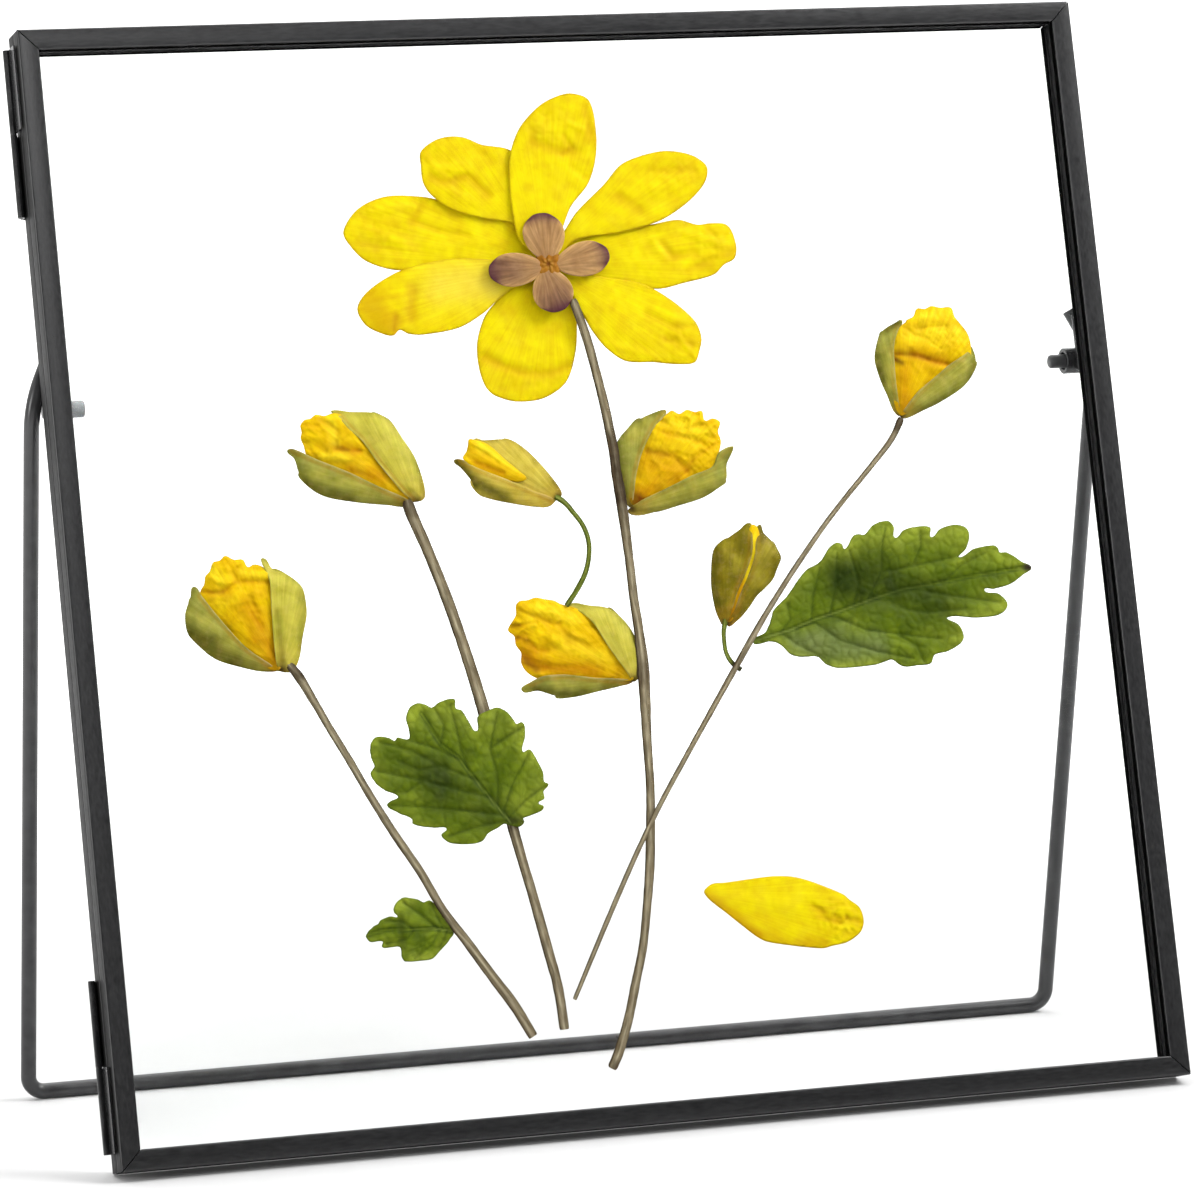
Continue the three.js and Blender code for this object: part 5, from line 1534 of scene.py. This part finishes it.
bud("bud_left", (39.6, 89.2), 2.0,
    [(green_sepal, [(24.9, 105.4), (24, 105.3), (23.6, 103.6), (23.1, 102.5), (22.3, 100.3), (22.4, 97.3),
                    (23.8, 95.1), (27.3, 91.9), (32, 90.1), (35.8, 89.1), (38.7, 89)],
      [(38.3, 89.7), (33.3, 93.8), (29, 99.2), (25.9, 103.7)],
      [((26, 99), (33, 92), 1.2, 0.2)], [((23.4, 97), (31, 91.2), 2.0, 0.65)], 0.85),
     (pale_lit_sepal, [(39.3, 88.9), (41, 88.6), (42, 89.1), (43.2, 91.3), (44.1, 94.8), (45.3, 98.9),
                   (45.4, 101.6), (44.9, 104.3), (42.4, 106.7), (39.6, 108), (38.6, 109.8), (37.7, 110)],
      [(38.1, 108.4), (39, 105.6), (38.8, 100.1), (38.7, 92.5), (38.8, 89.8)],
      [((42, 104), (42, 92), 1.4, 0.25)], [((40, 100), (40, 91), 0.7, 0.45),
                                           ((44.6, 102), (43.6, 93), 0.8, 0.3)], 0.15)],
    [(25.7, 104.8), (26.4, 105.8), (26.8, 107.3), (27.7, 108.2), (28.5, 109.8), (29.8, 110.1),
     (30.9, 110.9), (32.5, 110.1), (34.2, 110), (35, 108.6), (36.2, 109), (37.6, 108.6), (39.1, 107.2),
     (40.2, 105), (40.2, 100), (39.9, 95), (39.8, 90.5), (39, 89.2), (37, 89.6), (31.8, 94), (27.6, 99),
     (25.2, 102.8)],
    folds_at=[((26, 104.5), (29, 104), (30.5, 104.5), (32.5, 106), (39.5, 105.5), 0.5, -0.38),
              ((31, 110), (32.5, 106.8), (33, 108.6), 0.4, -0.25),
              ((35, 103), (36, 100), (35, 100), (36.5, 97.5), 0.6, -0.2),
              ((28, 107), (30.4, 105.6), 0.7, 0.25), ((33, 107.4), (38, 107), 0.6, 0.25),
              ((31, 102), (36, 103.4), 1.2, 0.25)],
    ochre_and_shade=[((34, 101), (37, 96), 2.0, 0.4), ((28, 103.6), (31, 104), 0.9, 0.35),
           ((36, 95), (38.6, 91), 1.6, 0.4)], deep=[((27.4, 104.4), (30, 104.2), 0.5, 0.35)],
    painted_highlight=[((28, 108.4), (30, 106.4), 1.2, 0.5), ((34, 107.6), (38, 106.8), 0.9, 0.4)], crumple=0.2,
    seed=35.0)
bud("bud_right", (167, 130.4), 1.8,
    [(green_sepal, [(169.3, 148.9), (167.6, 148.5), (165, 147.1), (163.9, 145.5), (163, 142.9),
                    (162.8, 141.1), (163.5, 137.6), (164.6, 134.4), (165.6, 131.3), (166.8, 130.4)],
      [(166.8, 131.8), (166.6, 136.6), (166.7, 140.1), (167.1, 144.4), (168.3, 147.2)],
      [((165, 144), (165.4, 136), 1.0, 0.25)], [((163.6, 142), (164, 137), 1.0, 0.5),
                                                ((168.6, 148.4), (166, 147.2), 0.7, 0.6)], 0.5),
     (green_sepal, [(166.8, 130.2), (168, 129.9), (171.5, 131.2), (175.3, 132.7), (180.3, 135.4),
                    (182.8, 138), (183.6, 140.4), (183.4, 142.2), (182.7, 143.4)],
      [(182, 142.2), (178, 139.9), (175, 137.8), (171, 135), (167.6, 131.5)],
      [((172, 134), (181, 139.6), 1.6, 0.3)], [((183, 140), (182, 137.4), 1.0, 0.4),
                                               ((170, 131), (176, 133.2), 0.8, 0.35)], 0.5)],
    [(165.9, 143), (166.4, 145.2), (168.4, 147.7), (169.8, 148.5), (170.2, 149), (171.6, 149.6),
     (172.6, 151.1), (174.2, 151), (175.6, 151.5), (177.4, 151.1), (179.6, 151), (180.2, 149.2),
     (181.2, 147.8), (182.4, 146), (182.9, 143.8), (182.4, 141), (178.8, 138.6), (175.5, 136.4),
     (171.4, 133.4), (168, 130.8), (166.8, 130.5), (165.9, 132), (165.7, 137), (165.8, 141)],
    folds_at=[((172, 147), (178, 147.5), 0.45, -0.25),
              ((169.5, 147.5), (171.5, 146), (174, 145), 0.45, -0.22),
              ((167, 142.5), (171.5, 142), (174.5, 140.7), (177.5, 140), 0.6, -0.5),
              ((176.5, 151), (176.5, 149.5), 0.35, -0.2), ((176.5, 143), (175, 144), 0.4, -0.2),
              ((169, 144.4), (176, 143.2), 1.2, 0.3), ((172, 149), (178, 149), 1.0, 0.2),
              ((168.4, 138), (173, 139.4), 1.1, 0.2)],
    ochre_and_shade=[((168, 143), (176, 141), 1.2, 0.5), ((168.5, 140), (168, 133), 1.4, 0.4)],
    deep=[((167, 141.4), (168.2, 140.7), 0.6, 1.0), ((169, 142.4), (174, 141.2), 0.5, 0.35)],
    painted_highlight=[((170, 145.6), (180, 146), 2.0, 0.35), ((173, 149.6), (179, 150), 1.2, 0.4)],
    fan_from=(167, 130.6), crumple=0.17, seed=36.0)
bud("bud_closed", (126.9, 92.4), 1.6,
    [(olive_sepal, [(133.9, 111.4), (131.4, 110.1), (129.1, 108.8), (126.8, 107.6), (125.9, 106.4),
                    (125.3, 104), (124.8, 99.9), (125, 96.1), (125.6, 93.6), (126.6, 92.2)],
      [(128.6, 95.5), (130, 98.6), (131.8, 101.6), (133.6, 105.5), (134.1, 109.3)],
      [((128.6, 106), (130.6, 103), 1.6, 0.4)], [((125.6, 104), (125.4, 96), 1.2, 0.5),
                                                 ((127, 97), (129.6, 102), 1.0, 0.35)], 0.45),
     (olive_sepal, [(127.2, 92.2), (129.5, 93.1), (131.9, 95.3), (133.7, 97.4), (135.4, 98.7),
                    (137.3, 100.4), (138.4, 102.4), (139.4, 104.4), (139, 105.8), (137.8, 107.8),
                    (136.4, 109.4), (135.8, 111)],
      [(134.8, 109.4), (134.3, 105.5), (132.4, 101.4), (130.6, 98.3), (129, 95.1)],
      [((136.6, 106), (134, 100), 1.8, 0.55)], [((130, 94.6), (134, 98.4), 0.8, 0.4)], 0.45)],
    [(134.1, 111), (135.2, 110.6), (135.6, 108), (135.3, 105.2), (133.6, 101), (131.6, 97.8), (129.2, 94.4),
     (127.4, 92.8), (127.6, 95), (129, 98.8), (130.8, 102), (132.6, 105.8), (133.2, 109)],
    folds_at=[((134.6, 109), (134, 105.6), (132.2, 101.5), (130.3, 98.2), 0.4, 0.1)],
    ochre_and_shade=[((131, 99), (129, 95.6), 1.2, 0.5)], deep=[((129, 96.4), (127.6, 93.4), 0.8, 0.5)],
    painted_highlight=[((134.4, 108.6), (133.6, 104.4), (132.2, 101.6), 0.8, 0.6)],
    crumple=0.08, seed=37.0)
